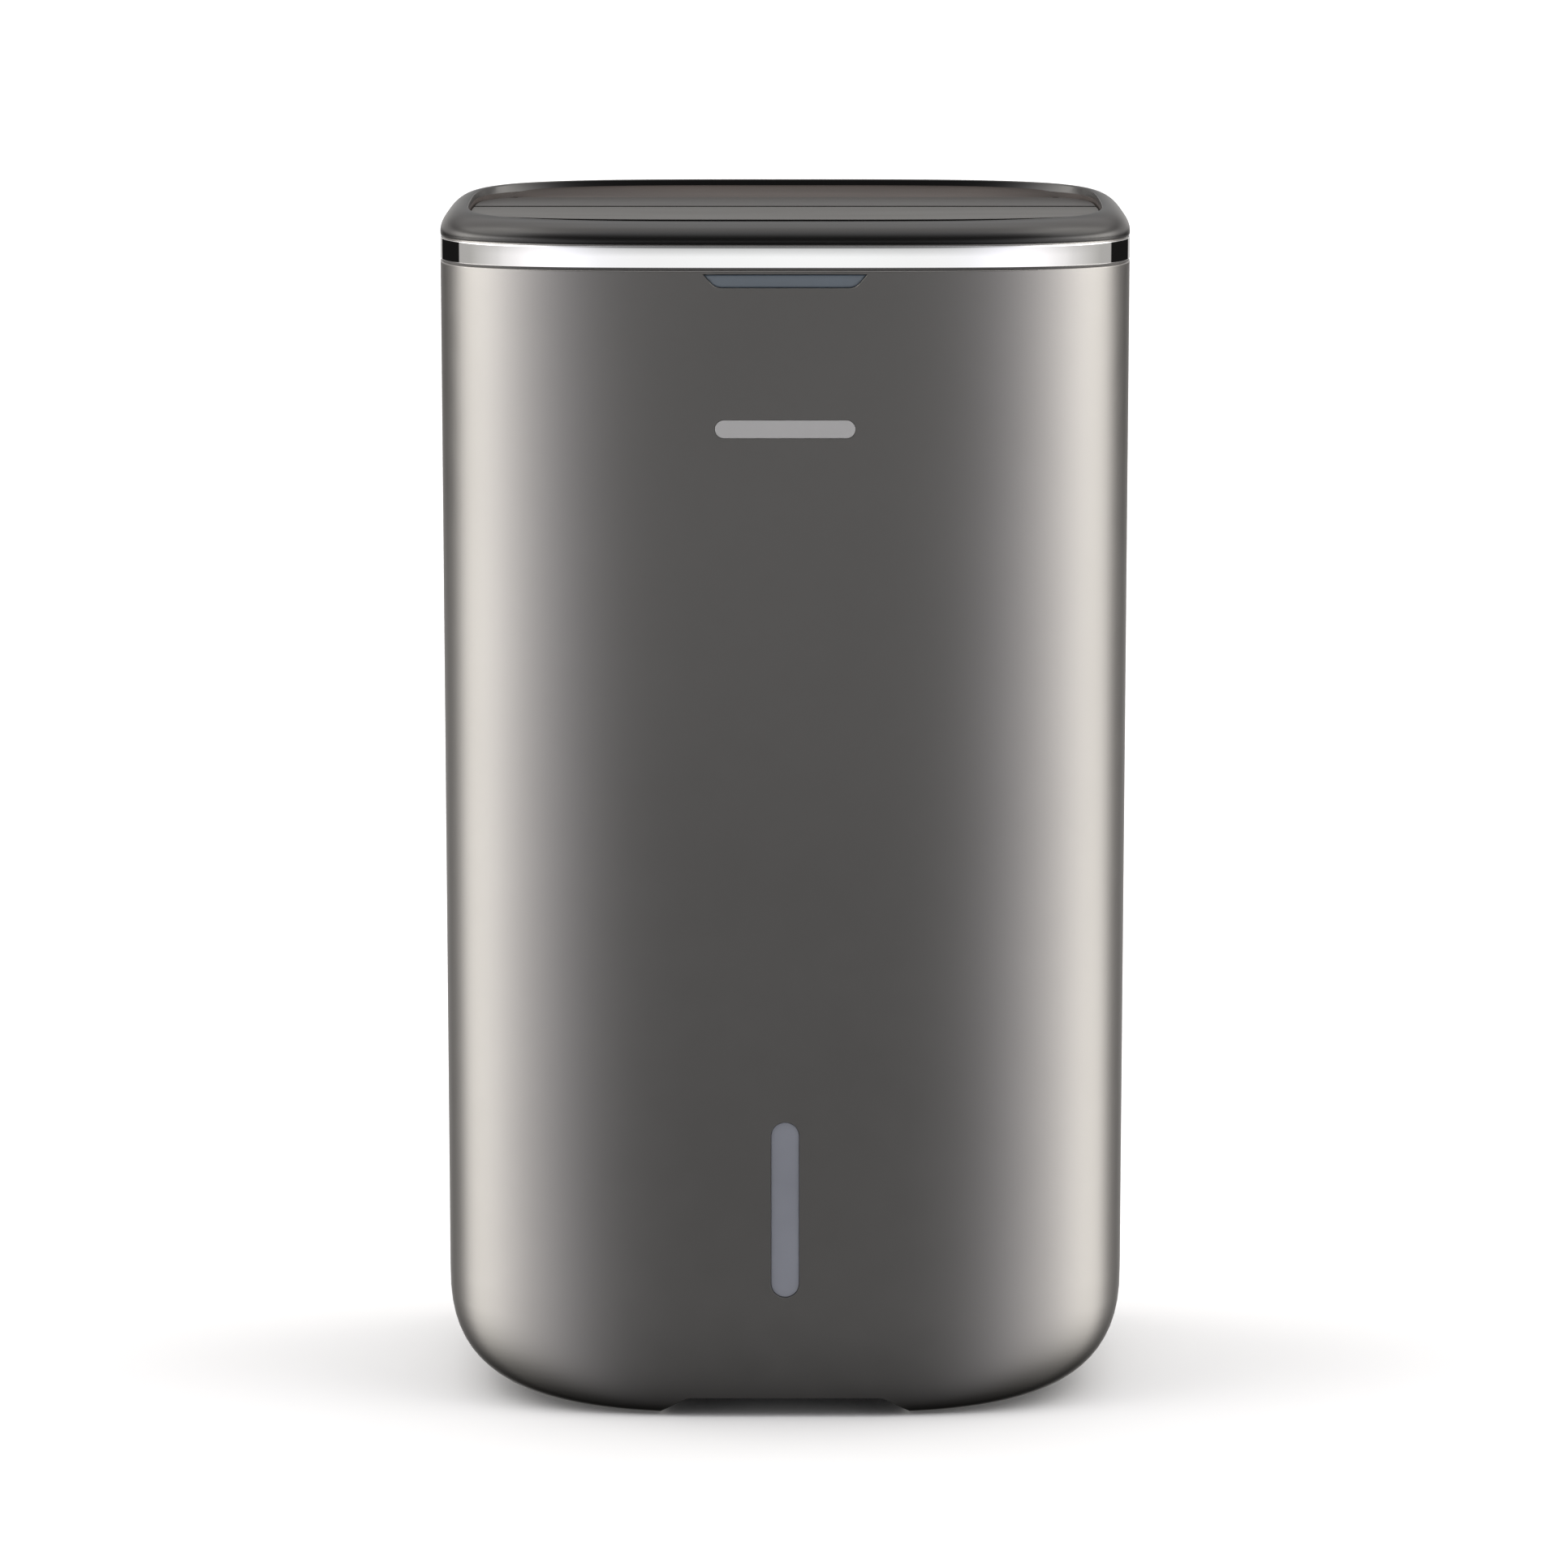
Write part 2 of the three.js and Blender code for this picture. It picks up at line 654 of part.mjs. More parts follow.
function makeTankLid() {
  const z = TANK.z1;
  const plate = join(
    tankColumn(-1.2, z + GAP, z + 2.8),
    cut(tankColumn(TANK.wall + 0.4, z - 4, z + 1), tankColumn(TANK.wall + 2.4, z - 6, z + 0.2)),
  );
  const ears = [FLOAT.x - 9, FLOAT.x + 6].map((x) =>
    box(x, x + 3, FLOAT.y - 4, FLOAT.y + 4, FLOAT.z - 4, z + 1),
  );
  return cut(
    join(plate, ...ears),
    rod("z", z - 10, z + 10, [0, 50], 17, 24),
    prism("z", [[-118, -88], [-84, -88], [-84, -70], [-118, -70]], z - 10, z + 10),
    rod("x", FLOAT.x - 12, FLOAT.x + 12, [FLOAT.y, FLOAT.z], 1.75, 10),
  );
}

function makeFascia() {
  const { x, z0, z1, y0, wall } = FASCIA;
  const outside = caseColumn(0.05, 0, 300);
  const block = outside.intersect(box(-x, x, y0, big, z0, z1));
  const hollow = caseColumn(wall, 0, 300).intersect(
    box(-x + wall, x - wall, 60, big, z0 + wall, z1 - wall),
  );
  const pocket = box(-66, 66, 96, big, 97, 152).intersect(outside);
  return cut(
    join(cut(block, hollow), pocket),
    box(-63, 63, 99, big, 100, 149),
    rod("x", -70, 70, [HANDLE.y, HANDLE.z], HANDLE.pin + 0.35, 12),
  );
}

function makeHandle() {
  const { x, y, z, arm, pin } = HANDLE;
  const low = z - arm;
  const bar = lyingPill(x, low - 5, low + 5);
  return join(
    prism("y", bar, y - 3.5, y + 3.5),
    ...[-1, 1].flatMap((side) => {
      const [x0, x1] = [side * (x - 7), side * x].sort((p, q) => p - q);
      const [p0, p1] = [side * (x - 2), side * 65.6].sort((p, q) => p - q);
      return [
        box(x0, x1, y - 3.5, y + 3.5, low, z),
        rod("x", x0, x1, [y, z], 5, 16),
        rod("x", p0, p1, [y, z], pin, 12),
      ];
    }),
  );
}

function makeFloatArm() {
  const { x, y, z } = FLOAT;
  return join(
    rod("x", x - 8.8, x + 8.8, [y, z], 1.5, 10),
    box(x - 4, x + 4, y - 3, y + 3, z - 2.5, z + 2.5),
    box(x - 4, x + 4, y - 48, y, z - 9, z - 6.5),
    box(x - 4, x + 4, y - 3, y, z - 9, z),
  );
}

function makeFloatBody() {
  const { x, y, z } = FLOAT;
  return cut(
    box(x - 22, x + 22, y - 64, y - 22, z - 31, z - 9.4),
    rod("z", z - 18, z, [x, y - 40], 5.4, 14),
  );
}

const makeFloatMagnet = () =>
  rod("z", FLOAT.z - 17.5, FLOAT.z - 9.8, [FLOAT.x, FLOAT.y - 40], 5, 14);

// ---------- intake grille and filter ----------
function makeIntakeGrille() {
  const edge = 0.5;
  const [x, z0, z1] = [INTAKE.x - edge, INTAKE.z0 + edge, INTAKE.z1 - edge];
  const rim = cut(
    column(HALF_W - 0.05, HALF_D - 0.05, z0, z1).intersect(
      box(-x, x, 97, big, z0, z1),
    ),
    box(-x + 4, x - 4, 80, big, z0 + 4, z1 - 4),
  );
  const panel = box(-x + 3, x - 3, 105.5, 108.2, z0 + 3, z1 - 3);
  const rows = 16;
  const pitch = (z1 - z0 - 16) / rows;
  const columns = [-1, 1];
  const slots = Array.from({ length: rows }, (_, i) => {
    const low = z0 + 8 + i * pitch + 2.6;
    return columns.map((k) =>
      box(k * 52 - 49, k * 52 + 49, 100, 112, low, low + pitch - 5.2),
    );
  }).flat();
  return cut(join(rim, panel), ...slots);
}

function makeFilterFrame() {
  const [x, z0, z1] = [INTAKE.x - 5.2, INTAKE.z0 + 5.2, INTAKE.z1 - 5.2];
  const frame = cut(
    box(-x, x, 98.5, 103, z0, z1),
    box(-x + 6, x - 6, 90, 110, z0 + 6, z1 - 6),
  );
  const bars = [-1, 0, 1].flatMap((i) => [
    box(-x + 5, x - 5, 98.5, 100, 337 + i * 66 - 1.5, 337 + i * 66 + 1.5),
    box(i * 54 - 1.5, i * 54 + 1.5, 98.5, 100, z0 + 5, z1 - 5),
  ]);
  return join(frame, ...bars);
}

const makeFilterMesh = () =>
  box(
    -INTAKE.x + 11.6,
    INTAKE.x - 11.6,
    100.4,
    101,
    INTAKE.z0 + 11.6,
    INTAKE.z1 - 11.6,
  );

// ---------- cooling circuit ----------
const coilPitch = (COIL.z1 - COIL.z0) / COIL.passes;
const passHeight = (i) => COIL.z0 + (i + 0.5) * coilPitch;
const LOW_PASS = passHeight(0);
const HIGH_PASS = passHeight(COIL.passes - 1);

function makeFins({ y0, y1 }) {
  const middle = (y0 + y1) / 2;
  const holes = Array.from({ length: COIL.passes }, (_, i) =>
    rod("x", -120, 120, [middle, passHeight(i)], COIL.tube + 0.6, 8),
  );
  return cut(box(-COIL.x, COIL.x, y0, y1, COIL.z0, COIL.z1), ...holes);
}

// One tube to and fro through the fins, its round bends outside the ends.
function makeCoilTube({ y0, y1 }) {
  const y = (y0 + y1) / 2;
  const path = [];
  for (let i = 0; i < COIL.passes; i++) {
    const side = i % 2 ? 1 : -1;
    const z = passHeight(i);
    path.push(new THREE.Vector3(side * (COIL.x + 4), y, z));
    path.push(new THREE.Vector3(-side * (COIL.x + 4), y, z));
    if (i === COIL.passes - 1) break;
    for (const turn of [45, 90, 135]) {
      const angle = THREE.MathUtils.degToRad(turn - 90);
      path.push(
        new THREE.Vector3(
          -side * (COIL.x + 4 + 10 * Math.cos(angle)),
          y,
          z + coilPitch / 2 + (coilPitch / 2) * Math.sin(angle),
        ),
      );
    }
  }
  return pipe(path, COIL.tube);
}

function makeDripTray() {
  const outer = box(-109, 109, 30, 88, DECK.z1 + GAP, 196);
  const inner = box(-107, 107, 32, 86, 174.5, 210);
  const spout = rod("z", 157, 178, [0, 50], 6.6, 16);
  const nipple = rod("y", 87, 107, [DRAIN.x, DRAIN.z], 6, 16);
  return cut(
    join(cut(outer, inner), spout, nipple),
    rod("z", 150, 182, [0, 50], 4.8, 16),
    rod("y", 80, 110, [DRAIN.x, DRAIN.z], 4.2, 16),
  );
}

function makeDrainPlug() {
  return join(
    rod("y", 96, 109, [DRAIN.x, DRAIN.z], 3.8, 16),
    rod("y", 107.4, 111, [DRAIN.x, DRAIN.z], 9, 20),
    box(DRAIN.x - 1.5, DRAIN.x + 1.5, 110, 113, DRAIN.z - 6, DRAIN.z + 6),
  );
}

function makeCordInlet() {
  const { x, z } = CORD_INLET;
  return cut(
    join(rod("y", 98, 114.2, [x, z], 7.9, 16), rod("y", 98, 109.6, [x, z], 11, 16)),
    rod("y", 90, 120, [x, z], 3.6, 14),
  );
}

function makeCompressor() {
  const { x, y, r, z0, z1 } = COMPRESSOR;
  const profile = [
    [0, z0],
    [r - 8, z0],
    [r - 2, z0 + 3],
    [r, z0 + 9],
    [r, z1 - 20],
    [r - 3, z1 - 11],
    [r - 12, z1 - 4],
    [r - 26, z1],
    [0, z1],
  ].map(([u, v]) => new THREE.Vector2(u, v));
  const can = new THREE.LatheGeometry(profile, 22).rotateX(Math.PI / 2);
  const plate = [0, 1, 2].map((i) => {
    const turn = DOWN + (2 * Math.PI * i) / 3;
    return rod(
      "z",
      z0 - 2.3,
      z0 + 0.5,
      [x + 46 * Math.cos(turn), y + 46 * Math.sin(turn)],
      10,
      12,
    );
  });
  return join(
    solid(can.translate(x, y, 0)),
    rod("z", z0 - 2.3, z0 + 0.5, [x, y], 42, 22),
    ...plate,
  );
}

function makeAccumulator() {
  const [x, y] = [-127, -45];
  const profile = [
    [0, 198],
    [8, 198],
    [14, 205],
    [14, 272],
    [8, 279],
    [0, 279],
  ].map(([u, v]) => new THREE.Vector2(u, v));
  const can = new THREE.LatheGeometry(profile, 16).rotateX(Math.PI / 2);
  const elbow = smooth(
    [
      [x, y, 200],
      [x, y, 192],
      [x + 6, y - 1, 186.5],
      [-107.8, y - 3, 186.8],
    ],
    8,
  );
  return join(solid(can.translate(x, y, 0)), pipe(elbow, 3));
}

const makeDischargePipe = () =>
  pipe(
    smooth(
      [
        [-38, -56, COMPRESSOR.z1 + 0.5],
        [-38, -58, COMPRESSOR.z1 + 12],
        [-58, -78, 326],
        [-104, -66, 330],
        [-128, -30, 342],
        [-130, 10, 390],
        [-126, 40, HIGH_PASS - 5],
        [-118, 48, HIGH_PASS],
        [-109, 48, HIGH_PASS],
      ],
      22,
    ),
    3,
  );

const makeSuctionPipe = () =>
  pipe(
    smooth(
      [
        [-109, 73, LOW_PASS],
        [-118, 73, LOW_PASS + 1],
        [-132, 55, LOW_PASS + 14],
        [-140, 10, 280],
        [-134, -30, 298],
        [-127, -44, 292],
        [-127, -45, 279.5],
      ],
      20,
    ),
    3,
  );

// The capillary rises from the condenser's low end to the evaporator's high end, with two turns.
function makeCapillary() {
  const turns = 2;
  const [x, y, radius] = [-129, 60, 7];
  const points = [
    [-109, 48, LOW_PASS],
    [-116, 48, LOW_PASS + 1],
    [-124, 51, LOW_PASS + 12],
    [-126, 56, LOW_PASS + 50],
  ];
  for (let i = 0; i <= 4 * turns; i++) {
    const turn = (Math.PI / 2) * i;
    points.push([
      x + radius * Math.cos(turn),
      y + radius * Math.sin(turn),
      300 + 3 * i,
    ]);
  }
  points.push([-125, 64, HIGH_PASS - 40], [-116, 73, HIGH_PASS - 3], [-109, 73, HIGH_PASS]);
  return pipe(smooth(points, 40), 1.4, 5);
}

// ---------- fan ----------
function voluteOutline(extra, overrun) {
  const points = [];
  for (let degrees = 60; degrees <= 360; degrees += 15) {
    const turn = THREE.MathUtils.degToRad(degrees);
    const r = VOLUTE.r0 + (VOLUTE.grow * (degrees - 60)) / 300 + extra;
    points.push([FAN.x + r * Math.cos(turn), FAN.z + r * Math.sin(turn)]);
  }
  const right = FAN.x + VOLUTE.r0 + VOLUTE.grow + extra;
  points.push([right, FAN.z + VOLUTE.top + overrun]);
  points.push([FAN.x + 43 - extra, FAN.z + VOLUTE.top + overrun]);
  return points;
}

function makeFanHousing() {
  const { y0, y1, wall } = VOLUTE;
  const at = [FAN.x, FAN.z];
  return cut(
    prism("y", voluteOutline(wall, 0), y0, y1),
    prism("y", voluteOutline(0, 20), y0 + wall, y1 - wall),
    rod("y", 0, 60, at, 62, 28),
    rod("y", -60, 0, at, 24, 20),
  );
}

function makeFanWheel() {
  const { x, z, radius, y0, y1, blades } = FAN;
  const at = [x, z];
  const hoop = cut(rod("y", y1 - 3, y1, at, radius, 28), rod("y", y1 - 9, y1 + 9, at, radius - 16, 28));
  const curve = [
    [radius - 15, 0],
    [radius - 9, 2.2],
    [radius - 1, 7],
  ];
  const vanes = Array.from({ length: blades }, (_, i) => {
    const turn = (2 * Math.PI * i) / blades;
    const side = (offset) =>
      curve.map(([r, w]) => [
        x + r * Math.cos(turn) - (w + offset) * Math.sin(turn),
        z + r * Math.sin(turn) + (w + offset) * Math.cos(turn),
      ]);
    return prism("y", [...side(0), ...side(1.3).reverse()], y0 + 1, y1 - 1);
  });
  return cut(
    join(rod("y", y0, y0 + 2, at, radius, 28), rod("y", y0, y0 + 26, at, 11, 18), hoop, ...vanes),
    rod("y", -60, 60, at, 3.4, 12),
  );
}

const makeFanShaft = () => rod("y", -68, FAN.y0 + 26, [FAN.x, FAN.z], 3, 12);

function makeFanMotor() {
  const at = [FAN.x, FAN.z];
  return cut(
    join(rod("y", -74, -34, at, 33, 22), rod("y", -35, VOLUTE.y0 - GAP, at, 42, 22)),
    rod("y", -69, 0, at, 3.4, 12),
  );
}

function makeAirDuct() {
  const ring = (x0, x1, y0, y1, z) => [
    new THREE.Vector3(x0, y0, z),
    new THREE.Vector3(x1, y0, z),
    new THREE.Vector3(x1, y1, z),
    new THREE.Vector3(x0, y1, z),
  ];
  const [low, high] = [FAN.z + VOLUTE.top + GAP, MOUTH.z0 - GAP];
  const { x, y0, y1 } = MOUTH;
  const wall = 2;
  return loft(
    [
      ring(40, 113, -31, 25, low),
      ring(-x - wall, x + wall, y0 - wall, y1 + wall, high),
      ring(-x, x, y0, y1, high),
      ring(43, 110, -28.5, 22.5, low),
    ],
    true,
  );
}

// ---------- electrics ----------
const CONTROL_BOX = { x0: 24, x1: 122, y0: -92, y1: -44, z0: 171.3, z1: 290 };

function makeControlBox() {
  const { x0, x1, y0, y1, z0, z1 } = CONTROL_BOX;
  return cut(
    box(x0, x1, y0, y1, z0, z1),
    box(x0 + 2, x1 - 2, y0 - 5, y1 - 2, z0 + 2, z1 - 2),
  );
}

const makeMainBoard = () => box(28, 118, -52, -50.4, 176, 284);

const makeCapacitor = () => rod("z", 180, 236, [48, -72], 15, 18);

function makeDisplayBoard() {
  return cut(
    column(138, 88, 560, 561.6),
    box(-big, big, -12, big, 550, 580),
    box(-big, -100, -big, big, 550, 580),
    box(100, big, -big, big, 550, 580),
  );
}

const makeLampBoard = () => box(-40, 40, -107.5, -106, 536, 549);

const makeLevelSwitch = () => box(FLOAT.x - 9, FLOAT.x + 9, 20, 42, 158, DECK.z0 - GAP);

// ---------- small repeated pieces ----------
function makeFoot() {
  return join(rod("z", 0, CASE_Z0 - 0.2, [0, 0], 9, 12), rod("z", 0, 4, [0, 0], 3, 8));
}

function makeScrew() {
  return join(rod("y", 96.3, 98.6, [0, 0], 4, 10), rod("y", 82, 97, [0, 0], 1.5, 6));
}

function makeCompressorMount() {
  return join(
    rod("z", DECK.z1 + GAP, 179.2, [0, 0], 8, 10),
    rod("z", DECK.z1 + GAP, 175, [0, 0], 10, 10),
  );
}

// ---------- assembly ----------
// A named mesh of one solid.
function piece(name, made, material) {
  const { vertProperties, triVerts } = made.getMesh();
  const geometry = new THREE.BufferGeometry();
  geometry.setAttribute(
    "position",
    new THREE.BufferAttribute(new Float32Array(vertProperties), 3),
  );
  geometry.setIndex(new THREE.BufferAttribute(new Uint32Array(triVerts), 1));
  geometry.computeVertexNormals();
  const mesh = new THREE.Mesh(geometry, material);
  mesh.name = name;
  return mesh;
}

function gather(...children) {
  const group = new THREE.Group();
  group.add(...children);
  return group;
}

const placed = (mesh, x, y, z) => {
  mesh.position.set(x, y, z);
  return mesh;
};

const housing = gather(
  piece("front_shell", makeFrontShell(), paint),
  piece("rear_cover", makeRearCover(), rearPlastic),
  piece("chrome_band", makeBand(), chrome),
  piece("badge_plate", makeBadge(), zinc),
  piece("indicator_lens", makeLamp(), smokedLens),
  piece("window_lens", makeWindowLens(), smokedLens),
  piece("base_pan", makeBasePan(), blackPlastic),
  piece("chassis", makeChassis(), frameGrey),
  ...footPlaces.map(([x, y], i) =>
    placed(piece(`foot_${i + 1}`, makeFoot(), rubber), x, y, 0),
  ),
  ...SCREW_ZS.flatMap((z, i) =>
    [-SCREW_X, SCREW_X].map((x, j) =>
      placed(piece(`rear_screw_${2 * i + j + 1}`, makeScrew(), zinc), x, 0, z),
    ),
  ),
);

const top = gather(
  piece("top_cover", makeTopCover(), darkLid),
  piece("outlet_tray", makeOutletTray(), blackPlastic),
  piece("control_panel", makeControlPanel(), panelGrey),
  piece("outlet_grille", makeOutletGrille(), blackPlastic),
  piece("flap_motor", makeFlapMotor(), zinc),
);

const flap = gather(
  piece("outlet_flap", makeFlap(), panelGrey),
  piece("flap_hinge_rod", rod("x", -138, 138, [PIVOT.y, PIVOT.z], PIVOT.rod, 12), zinc),
);
const pinion = gather(piece("flap_pinion", makePinion(), foam));

const grille = gather(
  piece("intake_grille", makeIntakeGrille(), rearPlastic),
  piece("filter_frame", makeFilterFrame(), blackPlastic),
  piece("filter_mesh", makeFilterMesh(), meshGrey),
);

const tank = gather(
  piece("tank", makeTank(), clearTank),
  piece("tank_lid", makeTankLid(), frameGrey),
  piece("tank_fascia", makeFascia(), rearPlastic),
  piece("tank_handle", makeHandle(), blackPlastic),
  piece("float_arm", makeFloatArm(), frameGrey),
  piece("float_body", makeFloatBody(), foam),
  piece("float_magnet", makeFloatMagnet(), steelBlack),
);

const cooling = gather(
  piece("evaporator_fins", makeFins(EVAPORATOR), aluminium),
  piece("evaporator_tube", makeCoilTube(EVAPORATOR), copper),
  piece("condenser_fins", makeFins(CONDENSER), aluminium),
  piece("condenser_tube", makeCoilTube(CONDENSER), copper),
  piece("compressor", makeCompressor(), steelBlack),
  piece("accumulator", makeAccumulator(), copper),
  piece("discharge_pipe", makeDischargePipe(), copper),
  piece("suction_pipe", makeSuctionPipe(), copper),
  piece("capillary_tube", makeCapillary(), copper),
  piece("drip_tray", makeDripTray(), frameGrey),
  piece("drain_plug", makeDrainPlug(), rubber),
  ...[0, 1, 2].map((i) => {
    const turn = DOWN + (2 * Math.PI * i) / 3;
    return placed(
      piece(`compressor_mount_${i + 1}`, makeCompressorMount(), rubber),
      COMPRESSOR.x + 46 * Math.cos(turn),
      COMPRESSOR.y + 46 * Math.sin(turn),
      0,
    );
  }),
);

const fan = gather(
  piece("fan_housing", makeFanHousing(), blackPlastic),
  piece("fan_wheel", makeFanWheel(), frameGrey),
  piece("fan_shaft", makeFanShaft(), zinc),
  piece("fan_motor", makeFanMotor(), zinc),
  piece("air_duct", makeAirDuct(), blackPlastic),
);

const electrics = gather(
  piece("control_box", makeControlBox(), frameGrey),
  piece("main_board", makeMainBoard(), board),
  piece("run_capacitor", makeCapacitor(), aluminium),
  piece("display_board", makeDisplayBoard(), board),
  piece("indicator_board", makeLampBoard(), board),
  piece("level_switch", makeLevelSwitch(), blackPlastic),
  piece("cord_inlet", makeCordInlet(), rubber),
);

export default gather(
  housing,
  top,
  flap,
  pinion,
  grille,
  tank,
  cooling,
  fan,
  electrics,
);
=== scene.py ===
import json
import math

import bmesh
import bpy
import numpy as np
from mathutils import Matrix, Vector


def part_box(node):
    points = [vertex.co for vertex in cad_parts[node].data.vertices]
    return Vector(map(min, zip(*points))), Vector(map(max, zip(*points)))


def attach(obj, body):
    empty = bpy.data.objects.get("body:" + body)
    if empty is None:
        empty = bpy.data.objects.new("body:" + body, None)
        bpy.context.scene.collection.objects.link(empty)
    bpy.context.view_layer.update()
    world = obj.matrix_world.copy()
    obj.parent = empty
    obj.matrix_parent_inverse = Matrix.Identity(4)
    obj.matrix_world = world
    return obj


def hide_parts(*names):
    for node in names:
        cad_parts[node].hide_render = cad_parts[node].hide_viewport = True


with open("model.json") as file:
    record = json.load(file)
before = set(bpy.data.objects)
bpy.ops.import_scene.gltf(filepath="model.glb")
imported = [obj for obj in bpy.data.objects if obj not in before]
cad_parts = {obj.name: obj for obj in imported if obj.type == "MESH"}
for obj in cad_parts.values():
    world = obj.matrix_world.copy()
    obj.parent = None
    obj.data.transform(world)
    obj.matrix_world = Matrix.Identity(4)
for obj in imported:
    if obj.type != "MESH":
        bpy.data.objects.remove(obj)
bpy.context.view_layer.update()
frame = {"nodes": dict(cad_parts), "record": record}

MM = 0.001
FULL_TURN = 2 * math.pi
QUARTER = math.pi / 2

# ---------- the case's measures, in millimetres ----------
HALF_W, HALF_D = 165.0, 115.0
PLAN_POWER, FOOT_PLAN_POWER = 3.8, 4.2
CASE_Z0, CASE_Z1 = 1.2, 549.2
FOOT_RISE, FOOT_IN_X, FOOT_IN_Y, FOOT_POWER = 56.0, 66.0, 8.0, 2.7
WALL = 2.5
SPLIT_Y, SPLIT_GAP = 62.0, 0.15
FAR = 300  # past the whole object, for blocks that cut a side of it away
RIM_IN = 12.5
CREST_FRONT, CREST_BACK = 570.8, 580.2
LID_Z0 = 561.0
AROUND = 224
PLAN_SAMPLES, HALF_SAMPLES = 4001, 2001


# ---------- mesh building ----------
def superellipse(turn, a, b, power=PLAN_POWER):
    c, s = np.cos(turn), np.sin(turn)
    return a * np.sign(c) * np.abs(c) ** (2 / power), b * np.sign(s) * np.abs(s) ** (2 / power)


def evenly(x, y, count):
    """Points at even distances along a plane curve."""
    along = np.concatenate([[0], np.cumsum(np.hypot(np.diff(x), np.diff(y)))])
    at = np.linspace(0, along[-1], count)
    return np.interp(at, along, x), np.interp(at, along, y)


def oval(a, front, back, z, power=PLAN_POWER):
    """A closed loop of the case's plan, evenly spaced; z is a height or a function of y."""
    turn = np.linspace(0, FULL_TURN, PLAN_SAMPLES)
    x, y = superellipse(turn, a, np.where(np.sin(turn) < 0, front, back), power)
    x, y = (values[:-1] for values in evenly(x, y, AROUND + 1))
    return np.stack([x, y, z(y) if callable(z) else np.full(AROUND, float(z))], 1)


def add_object(name, data):
    obj = bpy.data.objects.new(name, data)
    bpy.context.scene.collection.objects.link(obj)
    return obj


def new_object(name, verts, faces, material=None, sharp=32):
    """A smooth-shaded mesh from points in millimetres, with its creases kept sharp."""
    mesh = bpy.data.meshes.new(name)
    mesh.from_pydata([tuple(float(c) * MM for c in v) for v in verts], [], faces)
    obj = tidy(add_object(name, mesh), sharp)
    if material:
        mesh.materials.append(material)
    return obj


def tidy(obj, sharp=32, weld=1e-6):
    """Faces outward, doubled points merged, smooth shading except across sharp edges."""
    bm = bmesh.new()
    bm.from_mesh(obj.data)
    bmesh.ops.remove_doubles(bm, verts=bm.verts, dist=weld)
    bmesh.ops.dissolve_degenerate(bm, edges=bm.edges, dist=weld)
    bmesh.ops.recalc_face_normals(bm, faces=bm.faces)
    limit = math.radians(sharp)
    for face in bm.faces:
        face.smooth = True
    for edge in bm.edges:
        edge.smooth = len(edge.link_faces) != 2 or edge.calc_face_angle(0) < limit
    bm.to_mesh(obj.data)
    bm.free()
    return obj


def loft(name, loops, ring=False, material=None, sharp=32, flat=False):
    """A solid through loops of equal length: a closed ring, or capped with flat faces or fans."""
    count = len(loops[0])
    verts = [p for loop in loops for p in loop]
    faces = []
    spans = len(loops) if ring else len(loops) - 1
    for i in range(spans):
        here, there = i * count, ((i + 1) % len(loops)) * count
        for k in range(count):
            k1 = (k + 1) % count
            faces.append((here + k, here + k1, there + k1, there + k))
    if flat:
        last = (len(loops) - 1) * count
        faces += [tuple(range(count)), tuple(last + k for k in range(count))]
    elif not ring:
        for first in (0, (len(loops) - 1) * count):
            middle = len(verts)
            verts.append(np.mean(loops[first // count], axis=0))
            for k in range(count):
                faces.append((middle, first + k, first + (k + 1) % count))
    return new_object(name, verts, faces, material, sharp)


def spread(outline, axis, at):
    """A flat outline placed at a distance along an axis: z takes (x, y), y takes (x, z), x takes (y, z)."""
    u, v = np.array(outline, float).T
    w = np.full(len(u), float(at))
    return np.stack({"z": (u, v, w), "y": (u, w, v), "x": (w, u, v)}[axis], 1)


def turns_round(count):
    return np.linspace(0, FULL_TURN, count, endpoint=False)


def lathe(name, profile, centre, axis, count=48):
    """A turned piece from (radius, distance along the axis); off the axis at its start, it is a ring."""
    ring = profile[0][0] > 0
    turn, loops = turns_round(count), []
    for r, d in profile if ring else profile[1:-1]:
        circle = np.stack([r * np.cos(turn), r * np.sin(turn)], 1)
        loops.append(spread(circle, axis, d) + np.array(centre))
    return loft(name, loops, ring)


def rod(name, radius, low, high, centre, axis, count=24):
    """A plain turned bar, for pins, bores and wells."""
    return lathe(name, [(0, low), (radius, low), (radius, high), (0, high)], centre, axis, count)


def prism(*steps):
    """A cutter through (outline, y) steps."""
    return loft("cutter", [at_depth(*step) for step in steps], flat=True)


def block(x0, x1, y0, y1, z0, z1):
    """A plain box used to cut or join."""
    verts = [(x, y, z) for x in (x0, x1) for y in (y0, y1) for z in (z0, z1)]
    faces = [(0, 1, 3, 2), (4, 6, 7, 5), (0, 4, 5, 1), (2, 3, 7, 6), (0, 2, 6, 4), (1, 5, 7, 3)]
    return new_object("block", verts, faces)


def rounded_block(name, x0, x1, y0, y1, z0, z1, radius):
    """A box with its edges rounded."""
    obj = block(x0, x1, y0, y1, z0, z1)
    obj.name = obj.data.name = name
    bm = bmesh.new()
    bm.from_mesh(obj.data)
    edges = list(bm.edges)
    bmesh.ops.bevel(bm, geom=edges, offset=radius * MM, segments=3, profile=0.5, affect="EDGES")
    bm.to_mesh(obj.data)
    bm.free()
    return tidy(obj, 50)


